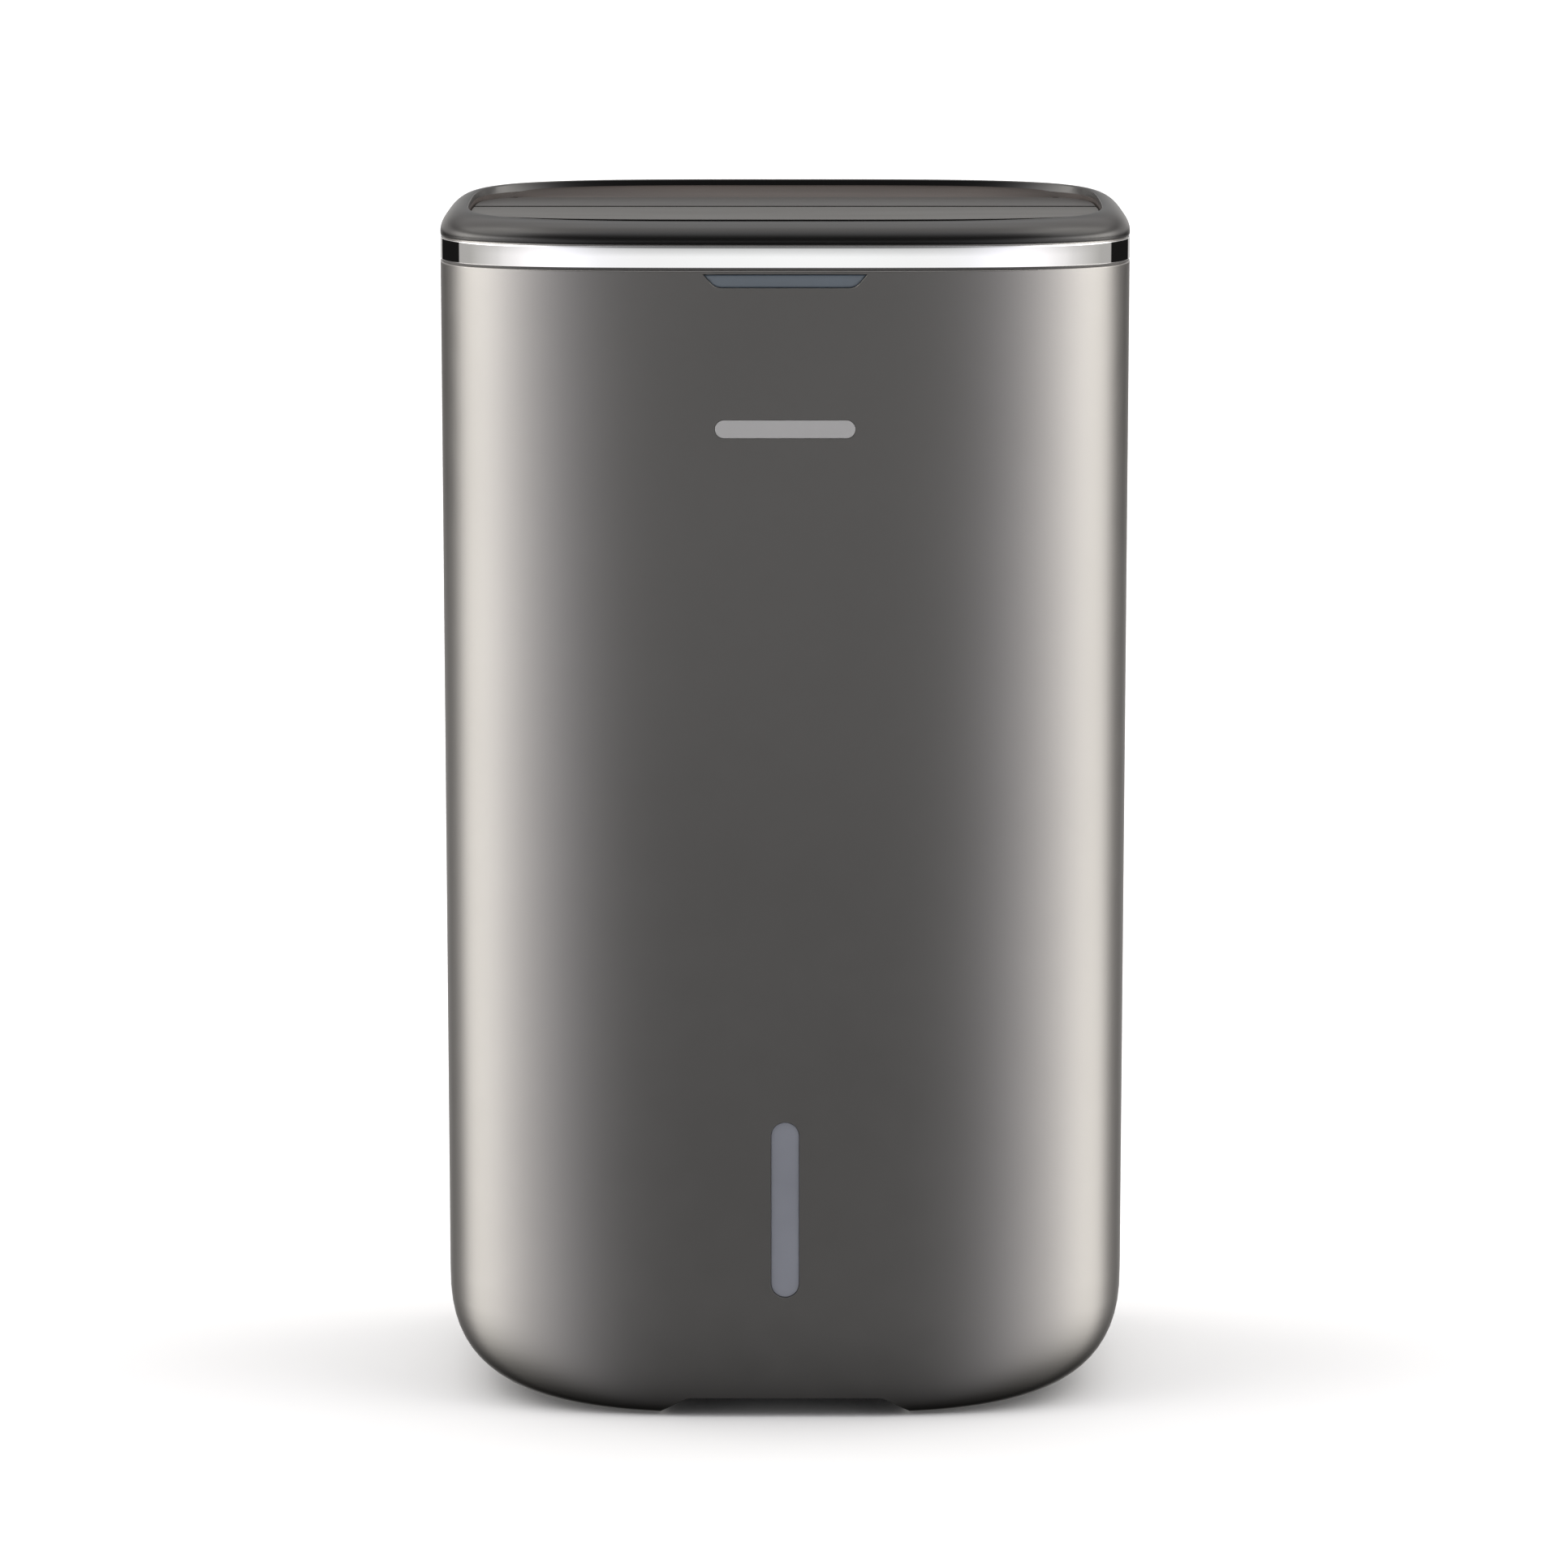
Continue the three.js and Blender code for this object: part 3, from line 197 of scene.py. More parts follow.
def combine(obj, others, operation="DIFFERENCE"):
    """A boolean of obj with each of the others, which are then removed."""
    for other in others:
        modifier = obj.modifiers.new("cut", "BOOLEAN")
        modifier.operation = operation
        modifier.solver = "EXACT"
        modifier.object = other
        bpy.context.view_layer.update()
        shape = obj.evaluated_get(bpy.context.evaluated_depsgraph_get())
        mesh = bpy.data.meshes.new_from_object(shape)
        obj.modifiers.clear()
        old = obj.data
        mesh.name = obj.name
        obj.data = mesh
        bpy.data.meshes.remove(old)
    for other in others:
        bpy.data.objects.remove(other)
    return tidy(obj, weld=2e-6)


def pill(half, z0, z1, points=14):
    """An upright pill outline of (x, z)."""
    outline = []
    for middle, start in ((z1 - half, 0), (z0 + half, math.pi)):
        for i in range(points + 1):
            turn = start + math.pi * i / points
            outline.append((half * math.cos(turn), middle + half * math.sin(turn)))
    return outline


def lying_pill(half, z0, z1, points=14):
    r, middle = (z1 - z0) / 2, (z0 + z1) / 2
    return [(v, middle - u) for u, v in pill(r, -half, half, points)]


def at_depth(outline, y):
    return np.array([(x, y, z) for x, z in outline])


def quarter_round(steps):
    """(1 - cosine, sine) at even steps of a quarter turn."""
    turns = [QUARTER * i / steps for i in range(steps + 1)]
    return [(1 - math.cos(t), math.sin(t)) for t in turns]


def bend(start, knee, end, count):
    """Points of a quadratic curve."""
    return [
        tuple((1 - t) ** 2 * p + 2 * t * (1 - t) * q + t * t * r for p, q, r in zip(start, knee, end))
        for t in np.linspace(0, 1, count)
    ]


def polar(u, v, reach, sway, turn):
    """The point at (reach, sway) from (u, v), turned round it."""
    cos, sin = math.cos(turn), math.sin(turn)
    return u + reach * cos - sway * sin, v + reach * sin + sway * cos


def oval_edge(x, a, b):
    """How far out the oval of half-widths a and b reaches at x."""
    return b * (1 - abs(x / a) ** PLAN_POWER) ** (1 / PLAN_POWER)


def inset_oval(inset, z, power=PLAN_POWER):
    """The case's plan at a height, moved inward."""
    return oval(HALF_W - inset, HALF_D - inset, HALF_D - inset, z, power)


def case_loops(inset, lift, top, steps=16):
    """The painted case's loops from the floor up, shrunk by inset and raised by lift."""
    loops = []
    for i in range(steps + 1):
        turn = QUARTER * i / steps
        up = 1 - math.cos(turn) ** (2 / FOOT_POWER)
        pull = 1 - math.sin(turn) ** (2 / FOOT_POWER)
        a = HALF_W - FOOT_IN_X * pull - inset
        b = HALF_D - FOOT_IN_Y * pull - inset
        power = PLAN_POWER + (FOOT_PLAN_POWER - PLAN_POWER) * pull
        loops.append(oval(a, b, b, CASE_Z0 + FOOT_RISE * up + lift, power))
    return loops + [inset_oval(inset, z) for z in top]


# ---------- materials ----------
NOISE_ROUGHNESS = 0.55
COAT_ROUGHNESS = 0.1
RELIEF_DEPTH = 0.0002


def add_node(tree, kind, values=None, sources=None, **settings):
    """A new shader node with its settings, and values and sources for its inputs by name or number."""
    made = tree.nodes.new("ShaderNode" + kind)
    for name, value in settings.items():
        setattr(made, name, value)
    for name, value in (values or {}).items():
        made.inputs[name].default_value = value
    for name, source in (sources or {}).items():
        tree.links.new(source, made.inputs[name])
    return made


def add_ramp(tree, factor, stops):
    """A colour ramp through (position, colour) stops: the lowest, the highest, then any between."""
    ramp = add_node(tree, "ValToRGB", sources={"Fac": factor})
    elements = ramp.color_ramp.elements
    for end, (position, color) in zip((0, 1), stops):
        elements[end].position, elements[end].color = position, (*color, 1)
    for position, color in stops[2:]:
        elements.new(position).color = (*color, 1)
    return ramp.outputs["Color"]


def add_relief(tree, height, strength, depth):
    values = {"Strength": strength, "Distance": depth}
    return add_node(tree, "Bump", values, {"Height": height}).outputs[0]


def material(
    name, color, roughness, metallic=0.0, tint=0.06, tint_scale=9.0, rough_vary=0.06, rough_scale=40.0,
    bump=0.05, bump_scale=900.0, detail=4.0, coat=0.0, specular=0.5, ior=1.5, stretch=(1, 1, 1),
    transmission=0.0, edge_wear=0.0,
):
    """A principled material whose colour, roughness and surface all vary with noise."""
    made = bpy.data.materials.new(name)
    made.use_nodes = True
    tree = made.node_tree
    tree.nodes.clear()
    place = add_node(tree, "TexCoord").outputs["Object"]
    mapping = add_node(tree, "Mapping", {"Scale": stretch}, {"Vector": place})

    def noise(scale, levels):
        values = {"Scale": scale, "Detail": levels, "Roughness": NOISE_ROUGHNESS}
        return add_node(tree, "TexNoise", values, {"Vector": mapping.outputs[0]}).outputs["Fac"]

    darker, lighter = ([min(1.0, c * k) for c in color] for k in (1 - tint, 1 + tint))
    base = add_ramp(tree, noise(tint_scale, 3.0), [(0.3, darker), (0.7, lighter)])
    if edge_wear:
        sharpness = add_node(tree, "NewGeometry").outputs["Pointiness"]
        limits = {"From Min": 0.53, "From Max": 0.62, "To Min": 0.0, "To Max": edge_wear}
        worn = add_node(tree, "MapRange", limits, {"Value": sharpness}).outputs[0]
        bare = (*[min(1, c * 1.8 + 0.05) for c in color], 1)
        mix = add_node(tree, "Mix", {"B": bare}, {"Factor": worn, "A": base}, data_type="RGBA")
        base = mix.outputs["Result"]
    limits = {"To Min": max(0.0, roughness - rough_vary), "To Max": min(1.0, roughness + rough_vary)}
    smudged = add_node(tree, "MapRange", limits, {"Value": noise(rough_scale, 3.0)})
    sources = {"Base Color": base, "Roughness": smudged.outputs[0]}
    if bump:
        sources["Normal"] = add_relief(tree, noise(bump_scale, detail), bump, RELIEF_DEPTH)
    values = {
        "Metallic": metallic,
        "Specular IOR Level": specular,
        "IOR": ior,
        "Coat Weight": coat,
        "Coat Roughness": COAT_ROUGHNESS,
        "Transmission Weight": transmission,
    }
    shader = add_node(tree, "BsdfPrincipled", values, sources)
    add_node(tree, "OutputMaterial", sources={"Surface": shader.outputs[0]})
    return made


PAINT = material(
    "satin_paint", (0.3, 0.2935, 0.285), 0.34, metallic=1.0, tint=0.03, tint_scale=5, rough_vary=0.02,
    rough_scale=60, bump=0.05, bump_scale=2600, detail=2,
)
REAR = material(
    "rear_plastic", (0.05, 0.048, 0.046), 0.5, tint=0.08, bump=0.35, bump_scale=1500, rough_vary=0.06,
    edge_wear=0.25,
)
CHROME = material(
    "chrome_trim", (0.93, 0.935, 0.94), 0.035, metallic=1.0, tint=0.01, rough_vary=0.015, bump=0.01,
    bump_scale=120,
)
LID = material(
    "lid_plastic", (0.0025, 0.0022, 0.0021), 0.28, tint=0.05, tint_scale=14, rough_vary=0.015,
    rough_scale=30, bump=0.02, bump_scale=2400, specular=0.55,
)
BRUSHED = {"tint": 0.05, "tint_scale": 12, "stretch": (0.25, 1, 1), "rough_vary": 0.05}
BRUSHED |= {"bump": 0.06, "bump_scale": 1600, "specular": 0.05}
PANEL = material("panel_plastic", (0.078, 0.076, 0.073), 0.3, **BRUSHED)
FLAP_LOOK = material("flap_plastic", (0.06, 0.058, 0.057), 0.3, **BRUSHED)
RAMP = material(
    "lid_ramp", (0.05, 0.041, 0.037), 0.5, tint=0.2, tint_scale=60, stretch=(0.12, 1, 1), rough_vary=0.08,
    bump=0.25, bump_scale=500, specular=0.25,
)
CLEAR = {"tint": 0.08, "tint_scale": 20, "rough_vary": 0.04, "bump": 0.02, "bump_scale": 300}
WINDOW = material("window_plastic", (0.19, 0.2, 0.232), 0.2, **CLEAR)
LENS = material("smoked_lens", (0.07, 0.088, 0.11), 0.12, coat=0.5, **CLEAR)
BADGE = material(
    "badge_metal", (0.4, 0.4, 0.405), 0.42, metallic=0.3, tint=0.04, stretch=(0.05, 1, 1), bump=0.08,
    bump_scale=900, specular=0.3,
)
# Black plastic made darker and duller still: its own black with painted shade, for the base pan seen under
# the case.
PAN_SHADE_BLACK = material("black_with_painted_shade", (0.004, 0.004, 0.004), 0.6, tint=0.2, bump=0.3, bump_scale=1300, specular=0.1)
BLACK = material(
    "black_plastic", (0.016, 0.016, 0.017), 0.5, tint=0.15, bump=0.3, bump_scale=1300, edge_wear=0.3
)
GREY = material("grey_plastic", (0.3, 0.31, 0.33), 0.45, tint=0.05, bump=0.15, bump_scale=900, edge_wear=0.15)
WHITE = material("white_plastic", (0.78, 0.76, 0.7), 0.5, tint=0.04, bump=0.12, bump_scale=700)
RUBBER = material("rubber", (0.014, 0.014, 0.014), 0.78, tint=0.2, bump=0.5, bump_scale=1100, specular=0.3)
COPPER = material(
    "copper_tube", (0.72, 0.38, 0.22), 0.26, metallic=1.0, tint=0.14, tint_scale=40, rough_vary=0.12,
    bump=0.08,
)
ALUMINIUM = material("aluminium", (0.7, 0.71, 0.73), 0.34, metallic=1.0, tint=0.05, rough_vary=0.1, bump=0.1)
STEEL = material(
    "plated_steel", (0.6, 0.61, 0.62), 0.3, metallic=1.0, tint=0.06, rough_vary=0.1, bump=0.1,
    stretch=(1, 0.1, 1),
)
ENAMEL = material(
    "black_enamel", (0.012, 0.012, 0.014), 0.28, tint=0.2, rough_vary=0.08, bump=0.15, bump_scale=250,
    coat=0.4,
)
TANK = material(
    "tank_clear", (0.72, 0.8, 0.86), 0.14, tint=0.03, transmission=0.75, bump=0.04, bump_scale=200, ior=1.46
)


def patterned(made, height, stops, relief=None):
    """A material with a pattern's colours for its own, and the pattern's relief as (strength, depth)."""
    tree = made.node_tree
    shader = next(n for n in tree.nodes if n.type == "BSDF_PRINCIPLED")
    tree.links.new(add_ramp(tree, height, stops), shader.inputs["Base Color"])
    if relief:
        tree.links.new(add_relief(tree, height, *relief), shader.inputs["Normal"])
    return made


def object_place(tree):
    return next(n for n in tree.nodes if n.type == "TEX_COORD").outputs["Object"]


def netting_material():
    """Woven filter netting."""
    made = material("filter_netting", (0.06, 0.065, 0.07), 0.7, tint=0.1, bump=0)
    tree = made.node_tree
    values, sources = {"Scale": 210}, {"Vector": object_place(tree)}
    threads = {}
    for i, direction in enumerate("XZ"):
        wave = add_node(tree, "TexWave", values, sources, wave_type="BANDS", bands_direction=direction)
        threads[i] = wave.outputs["Fac"]
    weave = add_node(tree, "Math", sources=threads, operation="MAXIMUM").outputs[0]
    return patterned(made, weave, [(0.55, (0.004, 0.004, 0.005)), (0.8, (0.09, 0.1, 0.11))], (0.7, 0.0004))


def board_material():
    """Green circuit board with faint tracks."""
    made = material("circuit_board", (0.03, 0.16, 0.09), 0.35, tint=0.1, bump=0)
    tree = made.node_tree
    sources = {"Vector": object_place(tree)}
    look = {"feature": "DISTANCE_TO_EDGE", "distance": "EUCLIDEAN"}
    cells = add_node(tree, "TexVoronoi", {"Scale": 120}, sources, **look).outputs["Distance"]
    return patterned(made, cells, [(0.05, (0.1, 0.26, 0.12)), (0.09, (0.02, 0.12, 0.07))])


# Near black, put on edge faces: painted shadow for the seams round the panel and the flap.
SEAM_SHADE = material("painted_seam_shadow", (0.003, 0.003, 0.003), 0.6, tint=0.2, bump=0.1, specular=0.1)
SLOT_MATERIALS = {
    "body_paint": PAINT, "chrome_trim": CHROME, "rear_plastic": REAR, "black_plastic": BLACK,
    "grey_plastic": GREY, "white_plastic": WHITE, "smoked_lens": LENS, "tank_plastic": TANK,
    "rubber": RUBBER, "copper": COPPER, "aluminium": ALUMINIUM, "plated_steel": STEEL,
    "black_steel": ENAMEL, "filter_fabric": netting_material(), "circuit_board": board_material(),
}


# ---------- pieces ----------
NODE_BODY = {n: body for body, nodes in frame["record"]["behaviour"]["bodies"].items() for n in nodes}
NODE_SLOT = {part["node"]: part["material_slot"] for part in frame["record"]["subparts"]}


def paint_with(obj, look):
    obj.data.materials.clear()
    obj.data.materials.append(look)
    return obj


def piece(obj, node, slot=None):
    """Stands for a CAD node: on its body, in its slot unless another is given, in its finish if unpainted."""
    slot = slot or NODE_SLOT[node]
    if not any(obj.data.materials):
        paint_with(obj, SLOT_MATERIALS[slot])
    smooth = obj.modifiers.new("normals", "WEIGHTED_NORMAL")
    smooth.keep_sharp = True
    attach(obj, NODE_BODY[node])
    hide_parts(node)


ARCH = {"low": 60.0, "high": 47.0, "z": 9.4}


def arch_cutter():
    """The gap under the case between its two lobes, with softened shoulders."""
    low, high, z = ARCH["low"], ARCH["high"], ARCH["z"]
    outline = [(-low, -6), (low, -6), (low, CASE_Z0 + 0.4), (low - 1.2, CASE_Z0 + 1.4)]
    outline += [(high + 2.2, z - 1.3), (high - 1.0, z), (-high + 1.0, z), (-high - 2.2, z - 1.3)]
    outline += [(-low + 1.2, CASE_Z0 + 1.4), (-low, CASE_Z0 + 0.4)]
    return prism((outline, -140), (outline, 140))


def case_solid(name):
    edge = 0.7
    top = [60 + 30 * i for i in range(17)] + [CASE_Z1 - edge]
    loops = case_loops(0, 0, top)
    loops += [inset_oval(edge * c, CASE_Z1 - edge + edge * s) for c, s in quarter_round(4)[1:]]
    loops += case_loops(WALL, WALL, [CASE_Z1])[::-1]
    return loft(name, loops)


LAMP = {"top": 38.2, "bottom": 32.5, "z0": 541.1, "z1": 547.4}


def lamp_outline(grow=0.0, corner=3.2):
    """The light strip's outline: a wide top edge, slanted ends and round lower corners."""
    top, bottom = LAMP["top"] + grow, LAMP["bottom"] + grow
    z0, z1 = LAMP["z0"] - grow, LAMP["z1"] + grow
    right = [(top, z1)] + bend((bottom + 2.2, z0 + 2.4), (bottom + 0.4, z0), (bottom - corner, z0), 7)
    return right + [(-x, z) for x, z in reversed(right)]


def front_shell():
    shell = case_solid("front_case")
    flare = ((0, -100), (0, -114.7), (0.5, -115.5))
    window = prism(*[(pill(6.8 + grow, 59.7 - grow, 145.3 + grow), y) for grow, y in flare])
    lamp = prism(*[(lamp_outline(grow), y) for grow, y in flare])
    pocket = lying_pill(33, 471, 480)
    badge = prism((pocket, -HALF_D + 1.1), (pocket, -130))
    behind = block(-FAR, FAR, SPLIT_Y - SPLIT_GAP, FAR, -20, 700)
    combine(shell, [behind, arch_cutter(), window, lamp, badge])
    piece(shell, "front_shell")


GRIP = {"x": 58.0, "z0": 494.0, "z1": 524.0, "y0": 88.0}
INTAKE = {"x": 112.0, "z0": 205.0, "z1": 470.0}
TANK_DOOR = {"x": 127.3, "z0": 18.9, "z1": 165.3}
SCREWS = [(x, z) for z in (186.0, 500.0) for x in (-128.0, 128.0)]
DRAIN = (-70.0, 186.0)
INLET = (70.0, 186.0)


def tube_cutter(x, z, radius, y0, y1, count=40):
    ring = [polar(x, z, radius, 0, t) for t in turns_round(count)]
    return prism((ring, y0), (ring, y1))


def rounded_rectangle(x0, x1, z0, z1, radius, points=6):
    outline = []
    for cx, cz, start in ((x1, z1, 0), (x0, z1, 1), (x0, z0, 2), (x1, z0, 3)):
        sx, sz = (-1 if cx == x1 else 1), (-1 if cz == z1 else 1)
        for i in range(points + 1):
            turn = QUARTER * (start + i / points)
            outline.append(polar(cx + sx * radius, cz + sz * radius, radius, 0, turn))
    return outline


def centred(x, z0, z1, inset, radius):
    """A rounded rectangle about the middle, inset from its measures."""
    return rounded_rectangle(-x + inset, x - inset, z0 + inset, z1 - inset, radius)


def rear_cover():
    shell = case_solid("rear_case")
    solid = loft("solid", case_loops(0, 0, [CASE_Z1 - 1]))
    pocket = block(-GRIP["x"] - 2, GRIP["x"] + 2, GRIP["y0"] - 2, 130, GRIP["z0"] - 2, GRIP["z1"] + 2)
    combine(pocket, [solid], "INTERSECT")
    combine(shell, [block(-FAR, FAR, -FAR, SPLIT_Y + SPLIT_GAP, -20, 700)])
    combine(shell, [pocket], "UNION")
    grip = centred(GRIP["x"], GRIP["z0"], GRIP["z1"], 0, 6)
    wide = centred(GRIP["x"], GRIP["z0"], GRIP["z1"], -1.5, 7)
    cutters = [
        arch_cutter(),
        prism((grip, GRIP["y0"]), (grip, 113.2), (wide, 117)),
        block(-INTAKE["x"], INTAKE["x"], 80, 130, INTAKE["z0"], INTAKE["z1"]),
        block(-TANK_DOOR["x"], TANK_DOOR["x"], 70, 130, TANK_DOOR["z0"], TANK_DOOR["z1"]),
        tube_cutter(*DRAIN, 12, 90, 130),
        tube_cutter(*INLET, 8.3, 90, 130),
    ]
    cutters += [tube_cutter(x, z, 4.5, 90, 130, 28) for x, z in SCREWS]
    combine(shell, cutters)
    piece(shell, "rear_cover")


def chrome_band():
    """The band: a slightly crowned bright face between two set-back steps."""
    z0, z1, round_by, wall = 550.2, 560.4, 0.32, 3.0
    middle = 554.5
    profile = [(round_by * (1 - s), z0 + round_by * c) for c, s in quarter_round(4)]
    for i in range(1, 9):
        z = middle + (z1 - round_by - middle) * i / 8
        profile.append((0.05 * ((z - middle) / (z1 - middle)) ** 2, z))
    base = profile[-1][0]
    profile += [(base + round_by * c, z1 - round_by + round_by * s) for c, s in quarter_round(4)[1:]]
    profile += [(wall, z1), (wall, z0)]
    loops = [inset_oval(*p) for p in profile]
    band = loft("chrome_band_smooth", loops, ring=True)
    piece(band, "chrome_band")


def band_steps():
    """The narrow set-back rings that close the reveals under and over the band; the lower one, in the dark
    rear plastic, is painted shade for the groove under the band.
    """
    for name, low, high, inset, look in (
        # the lower ring is dark: painted shade for the groove under the band
        ("groove_shade_ring", CASE_Z1 + 0.02, 550.18, 0.75, REAR),
        ("reveal_high", 560.42, LID_Z0 - 0.02, 1.0, PAINT),
    ):
        profile = ((inset, low), (inset, high), (2.9, high), (2.9, low))
        ring = loft(name, [inset_oval(*p) for p in profile], ring=True, material=look)
        piece(ring, "chrome_band")


def inset_outline(points, by):
    """A closed anticlockwise outline of (u, v), moved inward by a distance."""
    p = np.array(points, float)
    if by == 0:
        return p
    ahead = np.roll(p, -1, 0) - p
    ahead /= np.linalg.norm(ahead, axis=1)[:, None]
    normal = np.stack([ahead[:, 1], -ahead[:, 0]], 1)
    before = np.roll(normal, 1, 0)
    along = 1 + np.sum(normal * before, 1)
    return p - by * (normal + before) / np.maximum(along, 0.3)[:, None]


def slab(name, outline, axis, low, high, edge_low=0.0, edge_high=0.0, material=None, sharp=32, steps=4):
    """A flat outline pushed along an axis, its two rims rounded."""
    loops = []
    for end, edge, sign in ((low, edge_low, 1), (high, edge_high, -1)):
        rim = []
        if edge:
            rim.append((edge * 1.6, end))
            rim += [(edge * (1 - s), end + sign * edge * c) for c, s in quarter_round(steps)]
        else:
            rim.append((0.0, end))
        loops += rim if sign == 1 else rim[::-1]
    placed = [spread(inset_outline(outline, by), axis, w) for by, w in loops]
    return loft(name, placed, material=material, sharp=sharp, flat=True)


def merge(name, objs):
    """Several meshes as one object of separate islands."""
    bm = bmesh.new()
    for obj in objs:
        bm.from_mesh(obj.data)
        bpy.data.objects.remove(obj)
    mesh = bpy.data.meshes.new(name)
    bm.to_mesh(mesh)
    bm.free()
    return add_object(name, mesh)


# ---------- lid ----------
LIP = {"a": 150.8, "front": 100.8, "back": 97.0}
PANEL_A, PANEL_B, PANEL_Z0, PANEL_Z1 = 150.2, 100.2, 568.9, 572.0
FLAP = {"a": 150.2, "b": 96.4, "z0": 569.6, "z1": 572.4, "y0": 0.6, "half": 132.4}
FLOOR_Z0, FLOOR_Z1 = 563.0, 565.0
MOUTH = {"x": 112.0, "y0": 8.0, "y1": 80.0, "z0": 538.0}
PIVOT_Y, PIVOT_Z, PIVOT_ROD, PIVOT_EYE = 72.0, 569.4, 1.5, 3.0
RAMP_Y = 75.6
RAMP_DROP = 2.7
GAP = 0.3


def crest(y):
    """The height of the rim's crest, which rises from front to back."""
    return CREST_FRONT + (CREST_BACK - CREST_FRONT) * (y + HALF_D) / (2 * HALF_D)


def lid_rim():
    """The lid's dark rim: a round outside, a crest, and a slope down into the dish."""
    loops = [inset_oval(0.8, LID_Z0), inset_oval(0.25, LID_Z0 + 0.25), inset_oval(0, LID_Z0 + 0.9)]
    shoulder = LID_Z0 + 1.8
    for c, s in quarter_round(16):
        loops.append(inset_oval(RIM_IN * c, lambda y: shoulder + (crest(y) - shoulder) * s))
    loops.append(inset_oval(RIM_IN + 0.45, lambda y: crest(y) - 0.1))
    loops.append(inset_oval(RIM_IN + 0.8, lambda y: crest(y) - 0.5))
    loops.append(oval(151.6, 101.6, 101.2, lambda y: crest(y) - 0.35 - 4.2 * (y + HALF_D) / (2 * HALF_D)))
    loops.append(oval(LIP["a"], LIP["front"], 100.6, 570.2))
    inside = FLOOR_Z0 + 0.5
    for grow_back, grow, z in ((3.4, 0, inside), (5.0, 2.2, inside), (5.0, 2.2, 568.2)):
        loops.append(oval(LIP["a"] + grow, LIP["front"] + grow, LIP["back"] + grow_back, z))
    skin = 2.3
    for c, s in quarter_round(2)[::-1]:
        inset = skin + (RIM_IN - 2 - skin) * c
        loops.append(inset_oval(inset, lambda y: shoulder + (crest(y) - skin - shoulder) * s))
    loops.append(inset_oval(skin, LID_Z0))
    rim = loft("lid_rim", loops, ring=True, material=LID, sharp=40)
    rim.data.materials.append(RAMP)
    for face in rim.data.polygons:
        x, y, z = face.center
        faces_in = face.normal.dot(Vector((x, y, 0))) < 0
        if faces_in and 0.566 < z < (crest(y / MM) - RAMP_DROP) * MM:
            face.material_index = 1
    piece(rim, "top_cover")


def lid_ramp():
    """The fixed ramp behind the flap: it rises, hollow-curved, to the rim's crest all along its edge."""
    a, b = HALF_W - RIM_IN - 0.5, HALF_D - RIM_IN - 0.5
    columns, rows = 121, 14
    side = oval_edge(RAMP_Y + 1.2, b, a)
    loops = []
    for i in range(columns):
        x = -side * math.cos(math.pi * i / (columns - 1))
        y_end = oval_edge(x, a, b)
        z_end = crest(y_end) - RAMP_DROP
        loop = [(x, RAMP_Y, 570.0)]
        for k in range(rows + 1):
            t = k / rows
            rise = 0.22 * t + 0.78 * t**2.6
            loop.append((x, RAMP_Y + (y_end - RAMP_Y) * t, 572.1 + (z_end - 572.1) * rise))
        loops.append(loop + [(x, y_end, 570.0)])
    ramp = loft("lid_ramp", loops, material=RAMP, flat=True)
    piece(ramp, "top_cover")


def lid_dish():
    """What carries the panel and frames the outlet, under the lid's surface."""
    ledge = loft("panel_ledge", [oval(152.8, 102.8, 102.8, z) for z in (566.2, 568.6)])
    inner = loft("inner", [oval(143.8, 93.8, 93.8, z) for z in (560, 575)])
    combine(ledge, [inner, block(-FAR, FAR, 0, FAR, 550, 580)])
    piece(paint_with(ledge, BLACK), "top_cover")
    dish = loft("outlet_tray_smooth", [oval(150.5, 96.7, 96.7, z) for z in (FLOOR_Z0, FLOOR_Z1)])
    combine(dish, [block(-FAR, FAR, -FAR, -5, 550, 580)])
    x, y0, y1, z0 = MOUTH["x"], MOUTH["y0"], MOUTH["y1"], MOUTH["z0"]
    skirt = block(-x - 2, x + 2, y0 - 2, y1 + 2, z0, FLOOR_Z1 - 0.2)
    wall = block(-143.3, 143.3, -5, -2, FLOOR_Z0 + 0.1, 568.5)
    combine(dish, [skirt, wall], "UNION")
    combine(dish, [block(-x, x, y0, y1, 530, 570), block(117.4, 123.4, 60, 84, 562, 570)])
    piece(dish, "outlet_tray")


def half_plan(a, b, y_edge, front=True, count=120):
    """The oval's front or rear half as an anticlockwise outline, cut straight at y_edge."""
    start = math.pi if front else 0
    turn = np.linspace(start, start + math.pi, HALF_SAMPLES)
    x, y = superellipse(turn, a, b)
    keep = y < y_edge if front else y > y_edge
    curve = np.stack(evenly(x[keep], y[keep], count), 1)
    corners = [(curve[-1][0], y_edge), (curve[0][0], y_edge)]
    edge = [np.array(corners[0]) + (np.array(corners[1]) - corners[0]) * t for t in np.linspace(0, 1, 31)]
    return np.concatenate([curve, edge])


def control_panel():
    outline = half_plan(PANEL_A, PANEL_B, -GAP)
    panel = slab("touch_panel", outline, "z", PANEL_Z0, PANEL_Z1, 0.2, 0.2, PANEL, 40, 5)
    panel.data.materials.append(SEAM_SHADE)
    # The panel's edge faces take the near-black seam material, a painted shadow for the seam round the panel.
    for face in panel.data.polygons:
        if face.normal.z < 0.6:
            face.material_index = 1
    piece(panel, "control_panel")


